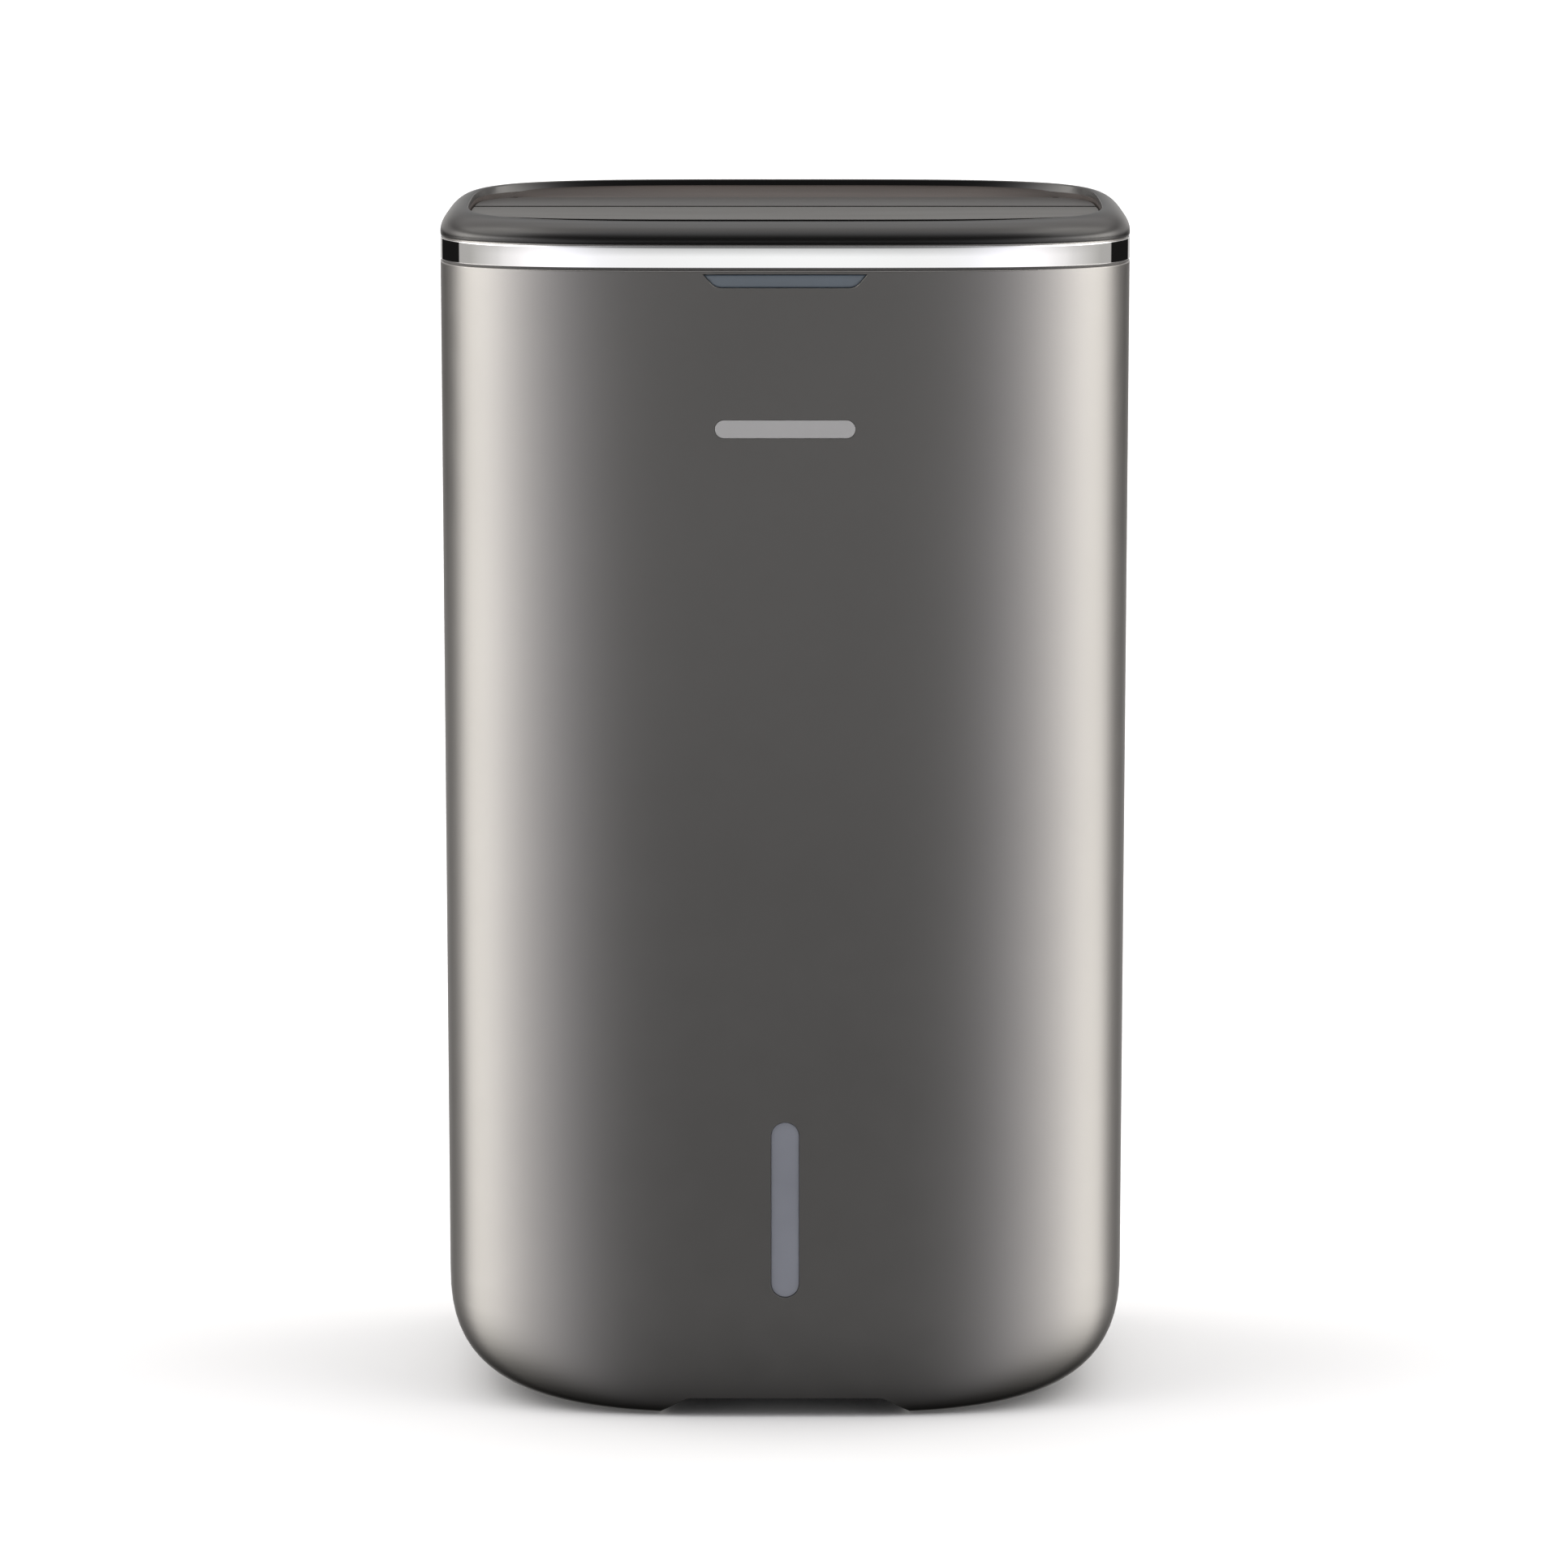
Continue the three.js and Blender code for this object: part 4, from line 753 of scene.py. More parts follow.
def outlet_flap():
    """The flap: a thin plate with a knuckle along its rear edge and ribs below; its toothed sector is made in
    toothed_sector.
    """
    plan = half_plan(FLAP["a"], FLAP["b"], FLAP["y0"], front=False)
    plate = slab("outlet_flap_smooth", plan, "z", FLAP["z0"], FLAP["z1"], 0.2, 0.6, None, 40, 6)
    behind = block(-FAR, FAR, PIVOT_Y, FAR, 550, 590)
    sides = [block(*sorted((k * FLAP["half"], k * 170)), PIVOT_Y - 3.4, 200, 550, 590) for k in (-1, 1)]
    combine(plate, [behind] + sides)
    half = FLAP["half"]
    pivot = (0, PIVOT_Y, PIVOT_Z)
    knuckle = rod("knuckle", PIVOT_EYE, -half, half, pivot, "x", 40)
    ribs = [block(x - 1, x + 1, 12, PIVOT_Y, 567.4, FLAP["z0"] + 0.6) for x in (-90, -45, 0, 45, 90)]
    combine(plate, [knuckle] + ribs, "UNION")
    combine(plate, [rod("bore", PIVOT_ROD + 0.25, -half - 2, half + 2, pivot, "x")])
    paint_with(plate, FLAP_LOOK).data.materials.append(SEAM_SHADE)
    # The flap's front edge faces take the near-black seam material too: a painted shadow for the seam between
    # flap and panel.
    for face in plate.data.polygons:
        if face.normal.y < -0.5 and face.center.y < 0.002:
            face.material_index = 1
    piece(plate, "outlet_flap")


GEAR = {"module": 1.0, "sector": 18, "pinion": 12, "x0": 118.4, "x1": 122.4}
PINION_Z = PIVOT_Z - GEAR["module"] * (GEAR["sector"] + GEAR["pinion"]) / 2


def gear_outline(teeth, angles, y, z):
    """A spur gear's outline with round-topped teeth at the given angles, as (y, z)."""
    pitch_radius = GEAR["module"] * teeth / 2
    root = pitch_radius - 1.25 * GEAR["module"]
    outline = []
    for turn in sorted(a % FULL_TURN for a in angles):
        flank = ((root, -1.0), (root + 0.4, -0.82), (pitch_radius, -0.56), (pitch_radius + 0.85, -0.26))
        for r, w in flank + tuple((r, -w) for r, w in reversed(flank)):
            outline.append(polar(y, z, r, w, turn))
    return outline


def toothed_sector():
    """The flap's few teeth, on a web that hangs from its right end."""
    pitch = FULL_TURN / GEAR["sector"]
    angles = [-math.pi / 2 + i * pitch for i in (-1, 0, 1, 2, 3)]
    outline = gear_outline(GEAR["sector"], angles, PIVOT_Y, PIVOT_Z)
    outline += [(PIVOT_Y + y, PIVOT_Z + z) for y, z in ((2.9, -0.5), (1.5, 1.5), (-2.5, 1.5))]
    sector = slab("flap_sector", outline, "x", GEAR["x0"], GEAR["x1"], 0.15, 0.15, FLAP_LOOK, 25)
    piece(sector, "outlet_flap")


def drive_pinion():
    pitch = FULL_TURN / GEAR["pinion"]
    angles = [math.pi / 2 + (i + 0.5) * pitch for i in range(GEAR["pinion"])]
    outline = gear_outline(GEAR["pinion"], angles, PIVOT_Y, PINION_Z)
    wheel = slab("pinion_wheel", outline, "x", GEAR["x0"] - 0.2, GEAR["x1"] + 0.2, 0.15, 0.15, sharp=25)
    centre = (0, PIVOT_Y, PINION_Z)
    shaft = rod("pinion_shaft", 1.4, GEAR["x0"] - 1, GEAR["x1"] + 5, centre, "x")
    piece(shaft, "flap_pinion", "plated_steel")
    piece(wheel, "flap_pinion")


# ---------- front trim ----------
def front_trim():
    """The light's lens, the level window and the plain badge, each in its pocket."""
    for name, outline, front, back, edge, look, node in (
        ("light_lens", lamp_outline(-0.08)[::-1], 1.0, 5.3, 0.5, LENS, "indicator_lens"),
        ("level_lens", pill(6.7, 59.8, 145.2), 0.9, 4.8, 0.35, WINDOW, "window_lens"),
        ("badge_pill", lying_pill(32.8, 471.2, 479.8), 0.15, 0.95, 0.35, BADGE, "badge_plate"),
    ):
        piece(slab(name, outline, "y", front - HALF_D, back - HALF_D, edge, 0, look), node)


# ---------- tank ----------
TANK_SHAPE = {"a": 153.0, "b": 104.0, "x": 124.0, "back": 92.0, "z0": 19.5, "z1": 150.0, "wall": 2.2}
FASCIA = {"x": 126.5, "z0": 19.7, "z1": 164.5, "y0": 92.4, "wall": 3.0}
BAIL = {"x": 58.0, "y": 106.0, "z": 142.0, "low": 108.0, "pin": 2.4}
FLOAT = {"x": 80.0, "y": 70.0, "z": 143.0}


def tank_outline(inset, corner=9.0, count=60):
    """The tank from above: an oval front, straight sides and back, all corners round."""
    a, b = TANK_SHAPE["a"] - inset, TANK_SHAPE["b"] - inset
    side, back = TANK_SHAPE["x"] - inset, TANK_SHAPE["back"] - inset
    inner = side - corner
    edge, inner_edge = -oval_edge(side, a, b), -oval_edge(inner, a, b)
    points = bend((-side, edge + corner), (-side, edge), (-inner, inner_edge), 8)
    points += [(x, -oval_edge(x, a, b)) for x in np.linspace(-inner, inner, count)[1:-1]]
    points += bend((inner, inner_edge), (side, edge), (side, edge + corner), 8)
    points += bend((side, back - corner), (side, back), (inner, back), 8)
    points += bend((-inner, back), (-side, back), (-side, back - corner), 8)
    return np.array(points)


def tank_loop(inset, z):
    return spread(tank_outline(inset), "z", z)


def water_tank():
    """The clear tank: a round-edged floor, thin walls and a lip."""
    z0, z1, wall = TANK_SHAPE["z0"], TANK_SHAPE["z1"], TANK_SHAPE["wall"]

    def rounding(radius, inset, low):
        return [(inset + radius * (1 - s), low + radius * c) for c, s in quarter_round(6)]

    lip = [(0, 8), (0, 5.6), (-0.4, 5.1), (-1.0, 4.9), (-1.2, 4.5), (-1.2, 0.5), (-0.9, 0.1), (-0.5, 0)]
    lip += [(wall - 0.5, 0), (wall, 0.4), (wall, 10)]
    profile = rounding(5.0, 0.0, z0) + [(inset, z1 - drop) for inset, drop in lip]
    profile += rounding(3.0, wall, z0 + wall)[::-1]
    tank = loft("clear_tank", [tank_loop(*p) for p in profile])
    piece(tank, "tank")


def tank_cover():
    """The tank's lid: a plate with a skirt, a drip hole, a pouring corner and two ears for the float."""
    z1, wall = TANK_SHAPE["z1"], TANK_SHAPE["wall"]
    plate = slab("tank_cover", tank_outline(-1.2), "z", z1 + 0.3, z1 + 2.8, 0.3, 0.7)
    skirt_profile = ((0.4, 0.6), (0.4, -3.6), (0.8, -4), (2.4, -4), (2.4, 0.6))
    skirt = loft("skirt", [tank_loop(wall + i, z1 + rise) for i, rise in skirt_profile], ring=True)
    x, y, z = FLOAT["x"], FLOAT["y"], FLOAT["z"]
    ears = []
    for x0 in (x - 9, x + 6):
        ear = [(y - 4, z1 + 1), (y - 4, z), (y + 4, z), (y + 4, z1 + 1)]
        ear[2:2] = [(y + 4 * math.sin(t), z - 4 * math.cos(t)) for t in np.linspace(-1.4, 1.4, 9)]
        ears.append(slab("ear", ear, "x", x0, x0 + 3))
    combine(plate, [skirt] + ears, "UNION")
    funnel = [(0, 140), (17, 140), (17, z1 + 2.2), (18.4, z1 + 3.6), (0, z1 + 3.6)]
    drip = lathe("drip", funnel, (0, 50, 0), "z", 56)
    spout = rounded_rectangle(-118, -84, -88, -70, 5)
    pour = loft("pour", [spread(spout, "z", z) for z in (z1 - 10, z1 + 10)], flat=True)
    bore = rod("bore", 1.75, x - 12, x + 12, (0, y, z), "x", 20)
    combine(plate, [drip, pour, bore])
    piece(plate, "tank_lid")


def tank_front():
    """The panel on the tank's outer end, part of the machine's rear surface, with a pocket for the bail."""
    x, z0, z1, y0, wall = (FASCIA[k] for k in ("x", "z0", "z1", "y0", "wall"))
    outline = centred(x, z0, z1, 0, 3.5)
    panel = loft("tank_front", [at_depth(outline, y) for y in (y0, 130)], flat=True)
    combine(panel, [loft("solid", case_loops(0.05, 0, [300]))], "INTERSECT")
    inside = centred(x, z0, z1, wall, 3)
    hollow = prism((inside, 60), (inside, 130))
    combine(hollow, [loft("solid", case_loops(wall, 0, [300]))], "INTERSECT")
    around = centred(66, 97, 152, 0, 4)
    pocket = prism((around, 96), (around, 112.5))
    combine(panel, [hollow])
    combine(panel, [pocket], "UNION")
    recess, wide = centred(63, 100, 149, 0, 5), centred(64.2, 98.8, 150.2, 0, 6)
    pins = rod("pins", 2.75, -70, 70, (0, BAIL["y"], BAIL["z"]), "x")
    combine(panel, [prism((recess, 99), (recess, 113), (wide, 116)), pins])
    piece(panel, "tank_fascia")


def tank_bail():
    """The folding carrying handle: a rounded bar, two arms, their eyes and pivot pins."""
    x, y, z, low = BAIL["x"], BAIL["y"], BAIL["z"], BAIL["low"]
    bar = slab("bail", lying_pill(x, low - 5, low + 5, 16), "y", y - 3.5, y + 3.5, 1.2, 1.2)
    parts = []
    for side in (-1, 1):
        x0, x1 = sorted((side * (x - 7), side * x))
        parts.append(rounded_block("arm", x0, x1, y - 3.3, y + 3.3, low - 3, z, 1.1))
        eye = [(0, x0), (4.2, x0), (5, x0 + 0.8), (5, x1 - 0.8), (4.2, x1), (0, x1)]
        parts.append(lathe("eye", eye, (0, y, z), "x", 32))
        p0, p1 = sorted((side * (x - 2), side * 65.6))
        parts.append(rod("pin", BAIL["pin"], p0, p1, (0, y, z), "x"))
    bail = merge("bail", [bar] + parts)
    piece(bail, "tank_handle")


# ---------- rear ----------
def rear_grille():
    """The intake grille: a curved frame in the case's surface round a set-back slotted panel."""
    edge = 0.5
    x, z0, z1 = INTAKE["x"] - edge, INTAKE["z0"] + edge, INTAKE["z1"] - edge
    outline = centred(x, z0, z1, 0, 1.5)
    grille = loft("rear_grille", [at_depth(outline, 97), at_depth(outline, 130)], flat=True)
    combine(grille, [loft("solid", case_loops(0.05, 0, [CASE_Z1 - 1]))], "INTERSECT")
    inner, wide = centred(x, z0, z1, 4, 5), centred(x, z0, z1, 2.6, 6.2)
    combine(grille, [prism((inner, 80), (inner, 112.2), (wide, 116.6))])
    panel = slab("panel", centred(x, z0, z1, 3, 2)[::-1], "y", 105.5, 108.2)
    rows = 16
    pitch = (z1 - z0 - 16) / rows
    slots = []
    for i in range(rows):
        low = z0 + 8 + i * pitch + 2.6
        high = low + pitch - 5.2
        for k in (-1, 1):
            slot = rounded_rectangle(k * 52 - 49, k * 52 + 49, low, high, 4.2)
            flare = rounded_rectangle(k * 52 - 50, k * 52 + 50, low - 1, high + 1, 5.2)
            slots.append(prism((slot, 100), (slot, 107.2), (flare, 108.2), (flare, 112)))
    combine(panel, [merge("slots", slots)])
    combine(grille, [panel], "UNION")
    piece(grille, "intake_grille")


def node_box(name):
    """A CAD piece's lowest and highest corners, in millimetres."""
    return [np.array(tuple(corner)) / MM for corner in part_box(name)]


def rear_screws():
    """Pan-head screws with a cross recess, sunk in the rear cover."""
    for n in (1, 2, 3, 4):
        x, _, z = np.mean(node_box(f"rear_screw_{n}"), axis=0)
        profile = [(0, 82), (0.5, 82), (1.5, 84), (1.5, 96.3), (3.8, 96.3), (4, 96.6), (3.9, 97.3)]
        head = lathe(f"screw_{n}", profile + [(3.3, 98.1), (2, 98.5), (0, 98.6)], (x, 0, z), "y", 32)
        combine(head, [block(x - w, x + w, 97.4, 99, z - h, z + h) for w, h in ((2.2, 0.4), (0.4, 2.2))])
        piece(head, f"rear_screw_{n}")


def drain_cap():
    x, z = DRAIN
    profile = [(0, 96), (3.3, 96), (3.8, 96.6), (3.8, 107.4), (8.6, 107.4), (9, 107.8), (9, 110.2)]
    cap = lathe("drain_cap", profile + [(8.4, 110.9), (7.6, 111), (0, 111)], (x, 0, z), "y")
    tab = rounded_block("tab", x - 1.5, x + 1.5, 110, 113, z - 6, z + 6, 0.7)
    combine(cap, [tab], "UNION")
    piece(cap, "drain_plug")


def inlet_bush():
    x, z = INLET
    profile = [(3.6, 98), (11, 98), (11, 109.2), (10.6, 109.6), (8.2, 109.6), (7.9, 109.9), (7.9, 113.3)]
    profile += [(7.6, 113.9), (7.0, 114.2), (4.6, 114.2), (4.0, 113.9), (3.6, 113.2)]
    bush = lathe("inlet_bush", profile, (x, 0, z), "y")
    piece(bush, "cord_inlet")


def rubber_feet():
    for n in (1, 2, 3, 4):
        x, y, _ = np.mean(node_box(f"foot_{n}"), axis=0)
        profile = [(0, 0), (8.4, 0), (8.8, 0.12), (9, 0.4), (9, 0.8), (8.8, 1.0), (3, 1.0), (3, 3.8)]
        foot = lathe(f"foot_pad_{n}", profile + [(2.8, 4), (0, 4)], (x, y, 0), "z", 40)
        piece(foot, f"foot_{n}")


# ---------- cooling circuit ----------
def smooth_path(points, steps):
    """A centripetal Catmull-Rom curve through the points, sampled at even distances."""
    p = np.array(points, float)
    p = np.concatenate([[2 * p[0] - p[1]], p, [2 * p[-1] - p[-2]]])
    samples = []
    for i in range(1, len(p) - 2):
        a, b, c, d = p[i - 1 : i + 3]
        t0 = 0.0
        t1 = t0 + np.linalg.norm(b - a) ** 0.5
        t2 = t1 + np.linalg.norm(c - b) ** 0.5
        t3 = t2 + np.linalg.norm(d - c) ** 0.5
        for t in np.linspace(t1, t2, 24, endpoint=i == len(p) - 3):
            ab = (t1 - t) / (t1 - t0) * a + (t - t0) / (t1 - t0) * b
            bc = (t2 - t) / (t2 - t1) * b + (t - t1) / (t2 - t1) * c
            cd = (t3 - t) / (t3 - t2) * c + (t - t2) / (t3 - t2) * d
            abc = (t2 - t) / (t2 - t0) * ab + (t - t0) / (t2 - t0) * bc
            bcd = (t3 - t) / (t3 - t1) * bc + (t - t1) / (t3 - t1) * cd
            samples.append((t2 - t) / (t2 - t1) * abc + (t - t1) / (t2 - t1) * bcd)
    samples = np.array(samples)
    along = np.concatenate([[0], np.cumsum(np.linalg.norm(np.diff(samples, axis=0), axis=1))])
    at = np.linspace(0, along[-1], steps)
    return np.stack([np.interp(at, along, samples[:, k]) for k in range(3)], 1)


def swept_tube(name, path, radius, sides=16):
    """A round tube along a path, its sides carried along without twisting."""
    path = np.array(path, float)
    along = np.gradient(path, axis=0)
    along /= np.linalg.norm(along, axis=1)[:, None]
    side = np.array((0.31, 0.87, 0.38))
    turn, loops = turns_round(sides), []
    for point, direction in zip(path, along):
        side = side - direction * side.dot(direction)
        side /= np.linalg.norm(side)
        other = np.cross(direction, side)
        loops.append(point + radius * (np.outer(np.cos(turn), side) + np.outer(np.sin(turn), other)))
    return loft(name, loops, sharp=50)


COIL = {"x": 104.0, "z0": 178.0, "z1": 462.0, "passes": 6, "tube": 3.6}
EVAPORATOR, CONDENSER = (64.0, 82.0), (38.0, 58.0)
COIL_PITCH = (COIL["z1"] - COIL["z0"]) / COIL["passes"]
LOW_PASS = COIL["z0"] + 0.5 * COIL_PITCH
HIGH_PASS = COIL["z1"] - 0.5 * COIL_PITCH


def coils():
    """Two coils: a tube to and fro with round bends, through a stack of thin plates."""
    for name, (y0, y1) in (("evaporator", EVAPORATOR), ("condenser", CONDENSER)):
        y, end = (y0 + y1) / 2, COIL["x"] + 4
        path = []
        for i in range(COIL["passes"]):
            side = 1 if i % 2 else -1
            z = LOW_PASS + i * COIL_PITCH
            path += [(side * end * k, y, z) for k in (1, 0.96, 0.5, 0, -0.5, -0.96, -1)]
            if i < COIL["passes"] - 1:
                for t in np.linspace(-math.pi / 2, math.pi / 2, 17)[1:-1]:
                    path.append((-side * (end + 10 * math.cos(t)), y, z + COIL_PITCH / 2 * (1 + math.sin(t))))
        tube = swept_tube(name + "_bends", path, COIL["tube"])
        piece(tube, name + "_tube")
        sheets = [(x, 0.14) for x in np.linspace(-103.8, 103.8, 105)] + [(x, 0.6) for x in (-103.4, 103.4)]
        plates = [block(x - half, x + half, y0, y1, COIL["z0"], COIL["z1"]) for x, half in sheets]
        piece(merge(name + "_plates", plates), name + "_fins")


def compressor_can():
    """The welded can: a domed lathe with its weld seam, on a three-lobed foot plate."""
    x, y, r, z0, z1 = -62.0, -50.0, 45.0, 181.8, 305.0
    low_round, high_round = np.linspace(0.1, QUARTER, 8), np.linspace(0.1, 1.5, 14)
    profile = [(0, z0), (r - 12, z0)]
    profile += [(r - 12 + 12 * math.sin(t), z0 + 10 * (1 - math.cos(t))) for t in low_round]
    profile += [(r, 268), (r, 271), (r - 0.9, 271.6), (r - 0.9, z1 - 26)]
    profile += [((r - 0.9) * math.cos(t), z1 - 26 + 26 * math.sin(t)) for t in high_round]
    can = lathe("compressor_can", profile + [(0, z1)], (x, y, 0), "z", 64)
    parts = [can]
    foot = [(0, -2.3), (41.4, -2.3), (42, -1.8), (42, 0.2), (41.6, 0.5), (0, 0.5)]
    parts.append(lathe("plate", [(radius, z0 + rise) for radius, rise in foot], (x, y, 0), "z", 64))
    for i in range(3):
        turn = -math.pi / 2 + FULL_TURN * i / 3
        lobe = [(0, -2.3), (9.6, -2.3), (10, -1.9), (10, 0.1), (9.6, 0.5), (0, 0.5)]
        lobe = [(radius, z0 + rise) for radius, rise in lobe]
        parts.append(lathe("lobe", lobe, (*polar(x, y, 46, 0, turn), 0), "z", 32))
    piece(merge("compressor_can", parts), "compressor")


def rubber_mounts():
    for n in (1, 2, 3):
        low, high = node_box(f"compressor_mount_{n}")
        x, y = (low + high)[:2] / 2
        r, z0, z1 = (high - low)[0] / 2, low[2], high[2]
        waist = [(r - cut, z0 + (z1 - z0) * t) for cut, t in ((0, 0.38), (1.2, 0.46), (1.2, 0.54), (0, 0.62))]
        profile = [(0, z0), (r - 0.4, z0), (r, z0 + 0.4)] + waist + [(r, z1 - 0.4), (r - 0.4, z1), (0, z1)]
        mount = lathe(f"mount_{n}", profile, (x, y, 0), "z", 40)
        piece(mount, f"compressor_mount_{n}")


def refrigerant_lines():
    x, y = -127.0, -45.0
    profile = [(0, 198)] + [(14 * math.sin(t), 206 - 8 * math.cos(t)) for t in np.linspace(0.15, QUARTER, 9)]
    profile += [(14 * math.cos(t), 271 + 8 * math.sin(t)) for t in np.linspace(0, QUARTER - 0.15, 9)]
    profile += [(0, 279)]
    elbow = smooth_path([(x, y, 200), (x, y, 192), (x + 6, y - 1, 186.5), (-107.8, y - 3, 186.8)], 22)
    can = [lathe("can", profile, (x, y, 0), "z", 40), swept_tube("elbow", elbow, 3)]
    piece(merge("accumulator_can", can), "accumulator")
    discharge = [(-38, -56, 305.5), (-38, -58, 317), (-58, -78, 326), (-104, -66, 330), (-128, -30, 342)]
    discharge += [(-130, 10, 390), (-126, 40, HIGH_PASS - 5), (-118, 48, HIGH_PASS), (-109, 48, HIGH_PASS)]
    suction = [(-109, 73, LOW_PASS), (-118, 73, LOW_PASS + 1), (-132, 55, LOW_PASS + 14), (-140, 10, 280)]
    suction += [(-134, -30, 298), (-127, -44, 292), (-127, -45, 279.5)]
    capillary = [(-109, 48, LOW_PASS), (-116, 48, LOW_PASS + 1), (-124, 51, LOW_PASS + 12)]
    capillary += [(-126, 56, LOW_PASS + 50)]
    for i in range(9):
        capillary.append((*polar(-129, 60, 7, 0, QUARTER * i), 300 + 3 * i))
    capillary += [(-125, 64, HIGH_PASS - 40), (-116, 73, HIGH_PASS - 3), (-109, 73, HIGH_PASS)]
    for name, node, points, steps, radius in (
        ("discharge_line", "discharge_pipe", discharge, 90, 3.0),
        ("suction_line", "suction_pipe", suction, 80, 3.0),
        ("capillary_line", "capillary_tube", capillary, 180, 1.4),
    ):
        line = swept_tube(name, smooth_path(points, steps), radius, 14)
        piece(line, node)


# ---------- fan ----------
FAN = {"z": 410.0, "radius": 78.0, "y0": -24.0, "y1": 18.0, "blades": 18}
VOLUTE = {"r0": 86.0, "grow": 24.0, "y0": -31.0, "y1": 25.0, "top": 92.0, "wall": 2.5}


def fan_wheel():
    """The fan: a back plate with its hub, curved blades and a front hoop."""
    z, r, y0, y1 = FAN["z"], FAN["radius"], FAN["y0"], FAN["y1"]
    centre = (0, 0, z)
    plate = [(3.4, y0), (r - 0.5, y0), (r, y0 + 0.5), (r, y0 + 1.5), (r - 0.5, y0 + 2), (12.5, y0 + 2)]
    plate += [(11, y0 + 3.5), (10.2, y0 + 25.2), (9.6, y0 + 26), (3.4, y0 + 26)]
    hoop = ((16, 2.6), (15.6, 3), (0.4, 3), (0, 2.6), (0, 0.4), (0.4, 0), (15.4, 0), (16, 0.6))
    hoop = [(r - inset, y1 - drop) for inset, drop in hoop]
    parts = [lathe("plate", plate, centre, "y", count=72), lathe("hoop", hoop, centre, "y", 72)]
    for i in range(FAN["blades"]):
        turn = FULL_TURN * i / FAN["blades"]
        rim = []
        for offset, order in ((0.0, 1), (1.3, -1)):
            for t in np.linspace(0, 1, 9)[::order]:
                reach, sway = r - 15 + 14 * t, 7 * t**1.5 + offset
                rim.append(polar(0, z, reach, sway, turn))
        parts.append(loft("blade", [at_depth(rim, y0 + 1), at_depth(rim, y1 - 1)], flat=True))
    wheel = merge("fan_blades", parts)
    piece(wheel, "fan_wheel")


def volute_outline(extra, overrun):
    points = []
    for degrees in np.linspace(60, 360, 73):
        r = VOLUTE["r0"] + VOLUTE["grow"] * (degrees - 60) / 300 + extra
        points.append(polar(0, FAN["z"], r, 0, math.radians(degrees)))
    right, top = VOLUTE["r0"] + VOLUTE["grow"] + extra, FAN["z"] + VOLUTE["top"] + overrun
    return points + [(right, top), (43 - extra, top)]


def fan_scroll():
    """The scroll housing with its inlet ring and the motor's opening."""
    y0, y1, wall = VOLUTE["y0"], VOLUTE["y1"], VOLUTE["wall"]
    scroll = loft("fan_scroll", [at_depth(volute_outline(wall, 0), y) for y in (y0, y1)], flat=True)
    hollow = volute_outline(0, 20)
    inside = prism((hollow, y0 + wall), (hollow, y1 - wall))
    mouth = [(0, 0), (62, 0), (62, 23.4), (64.5, 26), (0, 26)]
    inlet = lathe("inlet", mouth, (0, 0, FAN["z"]), "y", 64)
    combine(scroll, [inside, inlet, tube_cutter(0, FAN["z"], 24, -60, 0)])
    piece(scroll, "fan_housing")


def fan_drive():
    """The motor can with its flange, and the shaft."""
    centre = (0, 0, FAN["z"])
    motor = [(3.4, -69), (3.4, -73.2), (28, -74), (31.5, -73), (33, -70.5), (33, -36), (34, -35), (41.4, -35)]
    motor += [(42, -34.4), (42, -31.9), (41.4, -31.3), (3.4, -31.3)]
    piece(lathe("motor_can", motor, centre, "y", 64), "fan_motor")
    shaft = [(0, -68), (2.7, -68), (3, -67.7), (3, 1.7), (2.7, 2), (0, 2)]
    piece(lathe("shaft", shaft, centre, "y", 32), "fan_shaft")


def air_funnel():
    """The duct from the scroll's mouth up to the outlet."""
    low, high = FAN["z"] + VOLUTE["top"] + 0.3, MOUTH["z0"] - 0.3
    x, y0, y1 = MOUTH["x"], MOUTH["y0"], MOUTH["y1"]

    loops = []
    for start, end, order in (
        ((40, 113, -31, 25, 3), (-x - 2, x + 2, y0 - 2, y1 + 2, 4), 1),
        ((43, 110, -28.5, 22.5, 1), (-x, x, y0, y1, 2), -1),
    ):
        for t in np.linspace(0, 1, 9)[::order]:
            ease = t * t * (3 - 2 * t)
            sides = [p + (q - p) * (0.5 * t + 0.5 * ease) for p, q in zip(start, end)]
            loops.append(spread(rounded_rectangle(*sides), "z", low + (high - low) * t))
    piece(loft("air_funnel", loops, ring=True), "air_duct")


# ---------- float, filter frame and capacitor ----------
def float_parts():
    x, y, z = FLOAT["x"], FLOAT["y"], FLOAT["z"]
    body = rounded_block("float_block", x - 22, x + 22, y - 64, y - 22, z - 31, z - 9.4, 2.5)
    middle = (x, y - 40, 0)
    combine(body, [rod("well", 5.4, z - 18, z, middle, "z", 32)])
    piece(body, "float_body")
    disc = [(0, z - 17.5), (4.6, z - 17.5), (5, z - 17.1), (5, z - 10.2), (4.6, z - 9.8), (0, z - 9.8)]
    piece(lathe("float_disc", disc, middle, "z", 32), "float_magnet")


def filter_surround():
    x, z0, z1 = INTAKE["x"] - 5.2, INTAKE["z0"] + 5.2, INTAKE["z1"] - 5.2
    frame_body = slab("filter_surround", centred(x, z0, z1, 0, 3), "y", 98.5, 103, 0.3, 0.5)
    hole = centred(x, z0, z1, 6, 2)
    combine(frame_body, [prism((hole, 90), (hole, 110))])
    bars = []
    for i in (-1, 0, 1):
        bars.append(block(-x + 5, x - 5, 98.5, 100, 337 + i * 66 - 1.5, 337 + i * 66 + 1.5))
        bars.append(block(i * 54 - 1.5, i * 54 + 1.5, 98.5, 100, z0 + 5, z1 - 5))
    combine(frame_body, bars, "UNION")
    piece(frame_body, "filter_frame")


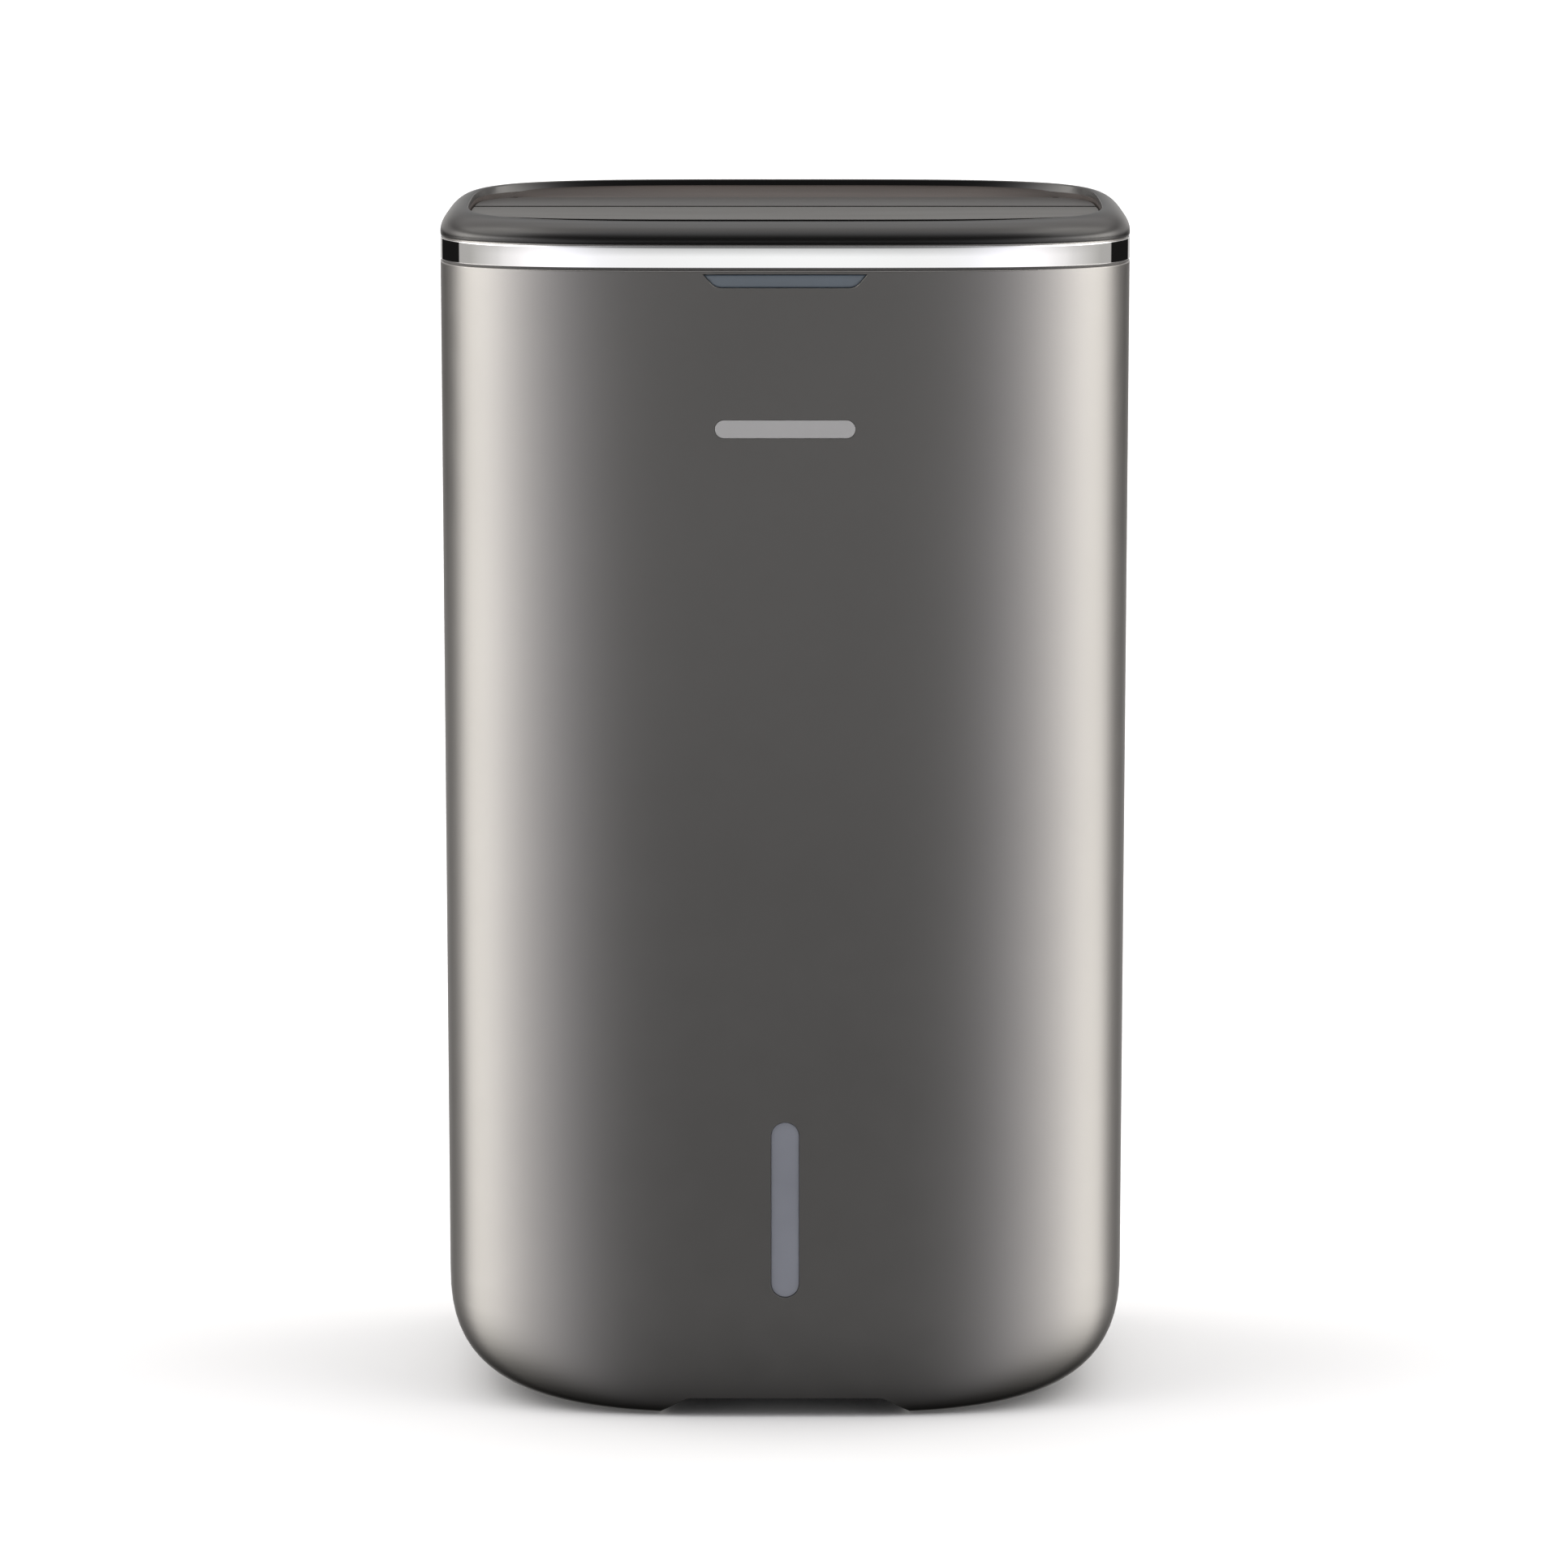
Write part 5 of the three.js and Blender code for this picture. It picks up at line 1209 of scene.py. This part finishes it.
def capacitor_can():
    profile = [(0, 180), (14.4, 180), (15, 180.6), (15, 228), (14.2, 228.8), (14.2, 230), (15, 230.8)]
    profile += [(15, 233.6), (14.6, 234.4), (13.6, 234.4), (13.2, 233.4), (0, 233.4)]
    can = lathe("capacitor_can", profile, (48, -72, 0), "z")
    tabs = [block(48 + k * 5 - 0.4, 48 + k * 5 + 0.4, -75, -69, 233, 236) for k in (-1, 1)]
    piece(merge("capacitor_can", [can] + tabs), "run_capacitor")


PIECES = (
    front_shell, rear_cover, chrome_band, band_steps, lid_rim, lid_ramp, lid_dish, control_panel,
    outlet_flap, toothed_sector, drive_pinion, front_trim, water_tank, tank_cover, tank_front, tank_bail,
    rear_grille, rear_screws, drain_cap, inlet_bush, rubber_feet, coils, compressor_can, rubber_mounts,
    refrigerant_lines, fan_wheel, fan_scroll, fan_drive, air_funnel, float_parts, filter_surround,
    capacitor_can,
)
for make in PIECES:
    make()


# ---------- finishes for the CAD pieces that show as they are ----------
# The base pan takes a darker black than its slot's: black plastic with painted shade under the case.
for name, slot in NODE_SLOT.items():
    node = frame["nodes"][name]
    if not node.hide_render:
        paint_with(node, PAN_SHADE_BLACK if name == "base_pan" else SLOT_MATERIALS[slot])


# ---------- floor, light and camera ----------
FLOOR_RADII = (400.0, 2000.0, 12000.0, 60000.0)
FLOOR_SIDES = 96
# The photograph's viewpoint: where the camera stands in metres, its pitch in degrees and its lens.
CAMERA_PLACE, CAMERA_PITCH = (0.0, -2.717, 0.732), 9.25
LENS_MM, SENSOR_MM, SHIFT = 128.7, 36, -1.4 / 1932

# Each light: (level around from front to back, level from below to above), both over degrees.
FRONT = (
    [(0, 0.045), (2.3, 0.055), (6.2, 0.09), (11.6, 0.18), (15.7, 0.3), (19.8, 0.47), (26, 0.72)]
    + [(32.5, 0.87), (42, 0.82), (52.6, 0.66), (66, 0.5), (80, 0.47), (118, 0.45), (119, 0.01)]
    + [(163, 0.01), (164, 0.6), (180, 0.6)],
    [(-90, 0), (-60, 0.02), (-38, 0.25), (-20, 1), (-6, 0.95), (-3, 0.95), (0, 1), (6, 0.45)]
    + [(12, 0.1), (24, 0), (90, 0)],
)
STRIP = (
    [(0, 0.95), (12, 0.8), (32, 0.4), (60, 0.35), (100, 0), (180, 0)],
    [(-90, 0), (-6.4, 0), (-5.2, 1), (-3.5, 1), (-1.6, 0.4), (0, 0), (90, 0)],
)
SIDES = (
    [(0, 0), (26, 0), (32.5, 0.2), (42, 0.75), (52.6, 1.6), (66, 2.6), (80, 3.3), (105, 3.3)]
    + [(118, 2), (128, 0.9), (133, 0.5), (140, 0.27), (165, 0.25), (180, 0)],
    [(-90, 0), (-60, 0.01), (-40, 0.08), (-24, 0.42), (-14, 0.7), (-7, 0.9), (-6.2, 0), (-1, 0)]
    + [(0, 1.5), (11, 1.6), (18, 0.3), (24, 0), (90, 0)],
)
DOME = (
    [(0, 0.78), (60, 1), (180, 1)],
    [(-90, 0), (22, 0), (36, 0.2), (50, 0.5), (64, 1.3), (80, 1.6), (90, 1.6)],
)
BOXES = (
    [(0, 0), (40, 0), (70, 2.3), (115, 2.4), (135, 0.8), (180, 0.6)],
    [(-90, 0), (18, 0), (30, 1), (60, 1), (75, 0), (90, 0)],
)
BACKDROP = (
    [(0, 0.05), (80, 0.05), (130, 0.2), (180, 0.2)],
    [(-90, 0), (-1, 0), (3, 1), (20, 1), (40, 0), (90, 0)],
)
# The light's colour around, from front to back: its two ends, then what is between them.
TONES = (
    [(0, (1, 1, 0.995)), (180, (1, 1, 1)), (8, (1, 0.995, 0.99)), (24, (1, 0.985, 1.03))]
    + [(45, (1, 0.97, 0.97)), (95, (1, 0.97, 0.925)), (133, (1, 0.96, 0.93)), (165, (1, 0.97, 0.95))]
)


def make_floor():
    """A wide disc of pale paper."""
    verts = [(0.0, 0.0, 0.0)]
    for r in FLOOR_RADII:
        verts += [(r * math.cos(t), r * math.sin(t), 0.0) for t in turns_round(FLOOR_SIDES)]
    after = [(k + 1) % FLOOR_SIDES for k in range(FLOOR_SIDES)]
    faces = [(0, 1 + k, 1 + k1) for k, k1 in enumerate(after)]
    for i in range(len(FLOOR_RADII) - 1):
        a, b = 1 + i * FLOOR_SIDES, 1 + (i + 1) * FLOOR_SIDES
        faces += [(a + k, b + k, b + k1, a + k1) for k, k1 in enumerate(after)]
    paper = material("floor_paper", (0.835, 0.85, 0.868), 0.9, tint=0.003, bump=0.02, specular=0.0)
    floor = new_object("floor", verts, faces, paper)
    floor.visible_glossy = False


def make_world():
    """The studio all round, as the sum of its lights."""
    world = bpy.data.worlds.new("studio")
    bpy.context.scene.world = world
    world.use_nodes = True
    tree = world.node_tree
    tree.nodes.clear()
    place = add_node(tree, "TexCoord").outputs["Generated"]
    split = add_node(tree, "SeparateXYZ", sources={0: place})

    def calc(operation, *values):
        made = add_node(tree, "Math", operation=operation)
        for socket, value in zip(made.inputs, values):
            if isinstance(value, (int, float)):
                socket.default_value = value
            else:
                tree.links.new(value, socket)
        return made.outputs[0]

    def curve(value, points):
        """Straight lines between (degrees, level) points."""
        low, high = points[0][0], points[-1][0]
        top = max(level for _, level in points)
        made = add_node(tree, "FloatCurve")
        line = made.mapping.curves[0]
        line.points[0].location = (0.0, points[0][1] / top)
        line.points[1].location = (1.0, points[-1][1] / top)
        for at, level in points[1:-1]:
            line.points.new((at - low) / (high - low), level / top)
        for point in line.points:
            point.handle_type = "VECTOR"
        made.mapping.update()
        tree.links.new(calc("DIVIDE", calc("SUBTRACT", value, low), high - low), made.inputs["Value"])
        return calc("MULTIPLY", made.outputs[0], top)

    sideways = calc("ABSOLUTE", split.outputs["X"])
    forward = calc("MULTIPLY", split.outputs["Y"], -1.0)
    azimuth = calc("MULTIPLY", calc("ARCTAN2", sideways, forward), 180 / math.pi)
    elevation = calc("MULTIPLY", calc("ARCSINE", split.outputs["Z"]), 180 / math.pi)
    total = 0.0
    for around, upward in (FRONT, STRIP, SIDES, DOME, BOXES, BACKDROP):
        total = calc("ADD", calc("MULTIPLY", curve(azimuth, around), curve(elevation, upward)), total)
    tones = [(degrees / 180, color) for degrees, color in TONES]
    sources = {"Strength": total, "Color": add_ramp(tree, calc("DIVIDE", azimuth, 180.0), tones)}
    light = add_node(tree, "Background", sources=sources)
    add_node(tree, "OutputWorld", sources={"Surface": light.outputs[0]})


def make_camera():
    data = bpy.data.cameras.new("camera")
    camera = add_object("camera", data)
    camera.location = CAMERA_PLACE
    camera.rotation_euler = (math.radians(90 - CAMERA_PITCH), 0, 0)
    data.lens, data.sensor_width, data.shift_x = LENS_MM, SENSOR_MM, SHIFT
    data.clip_start, data.clip_end = 0.05, 200
    bpy.context.scene.camera = camera


make_floor()
make_world()
make_camera()
bpy.context.scene.view_settings.view_transform = "Standard"

bpy.context.view_layer.update()
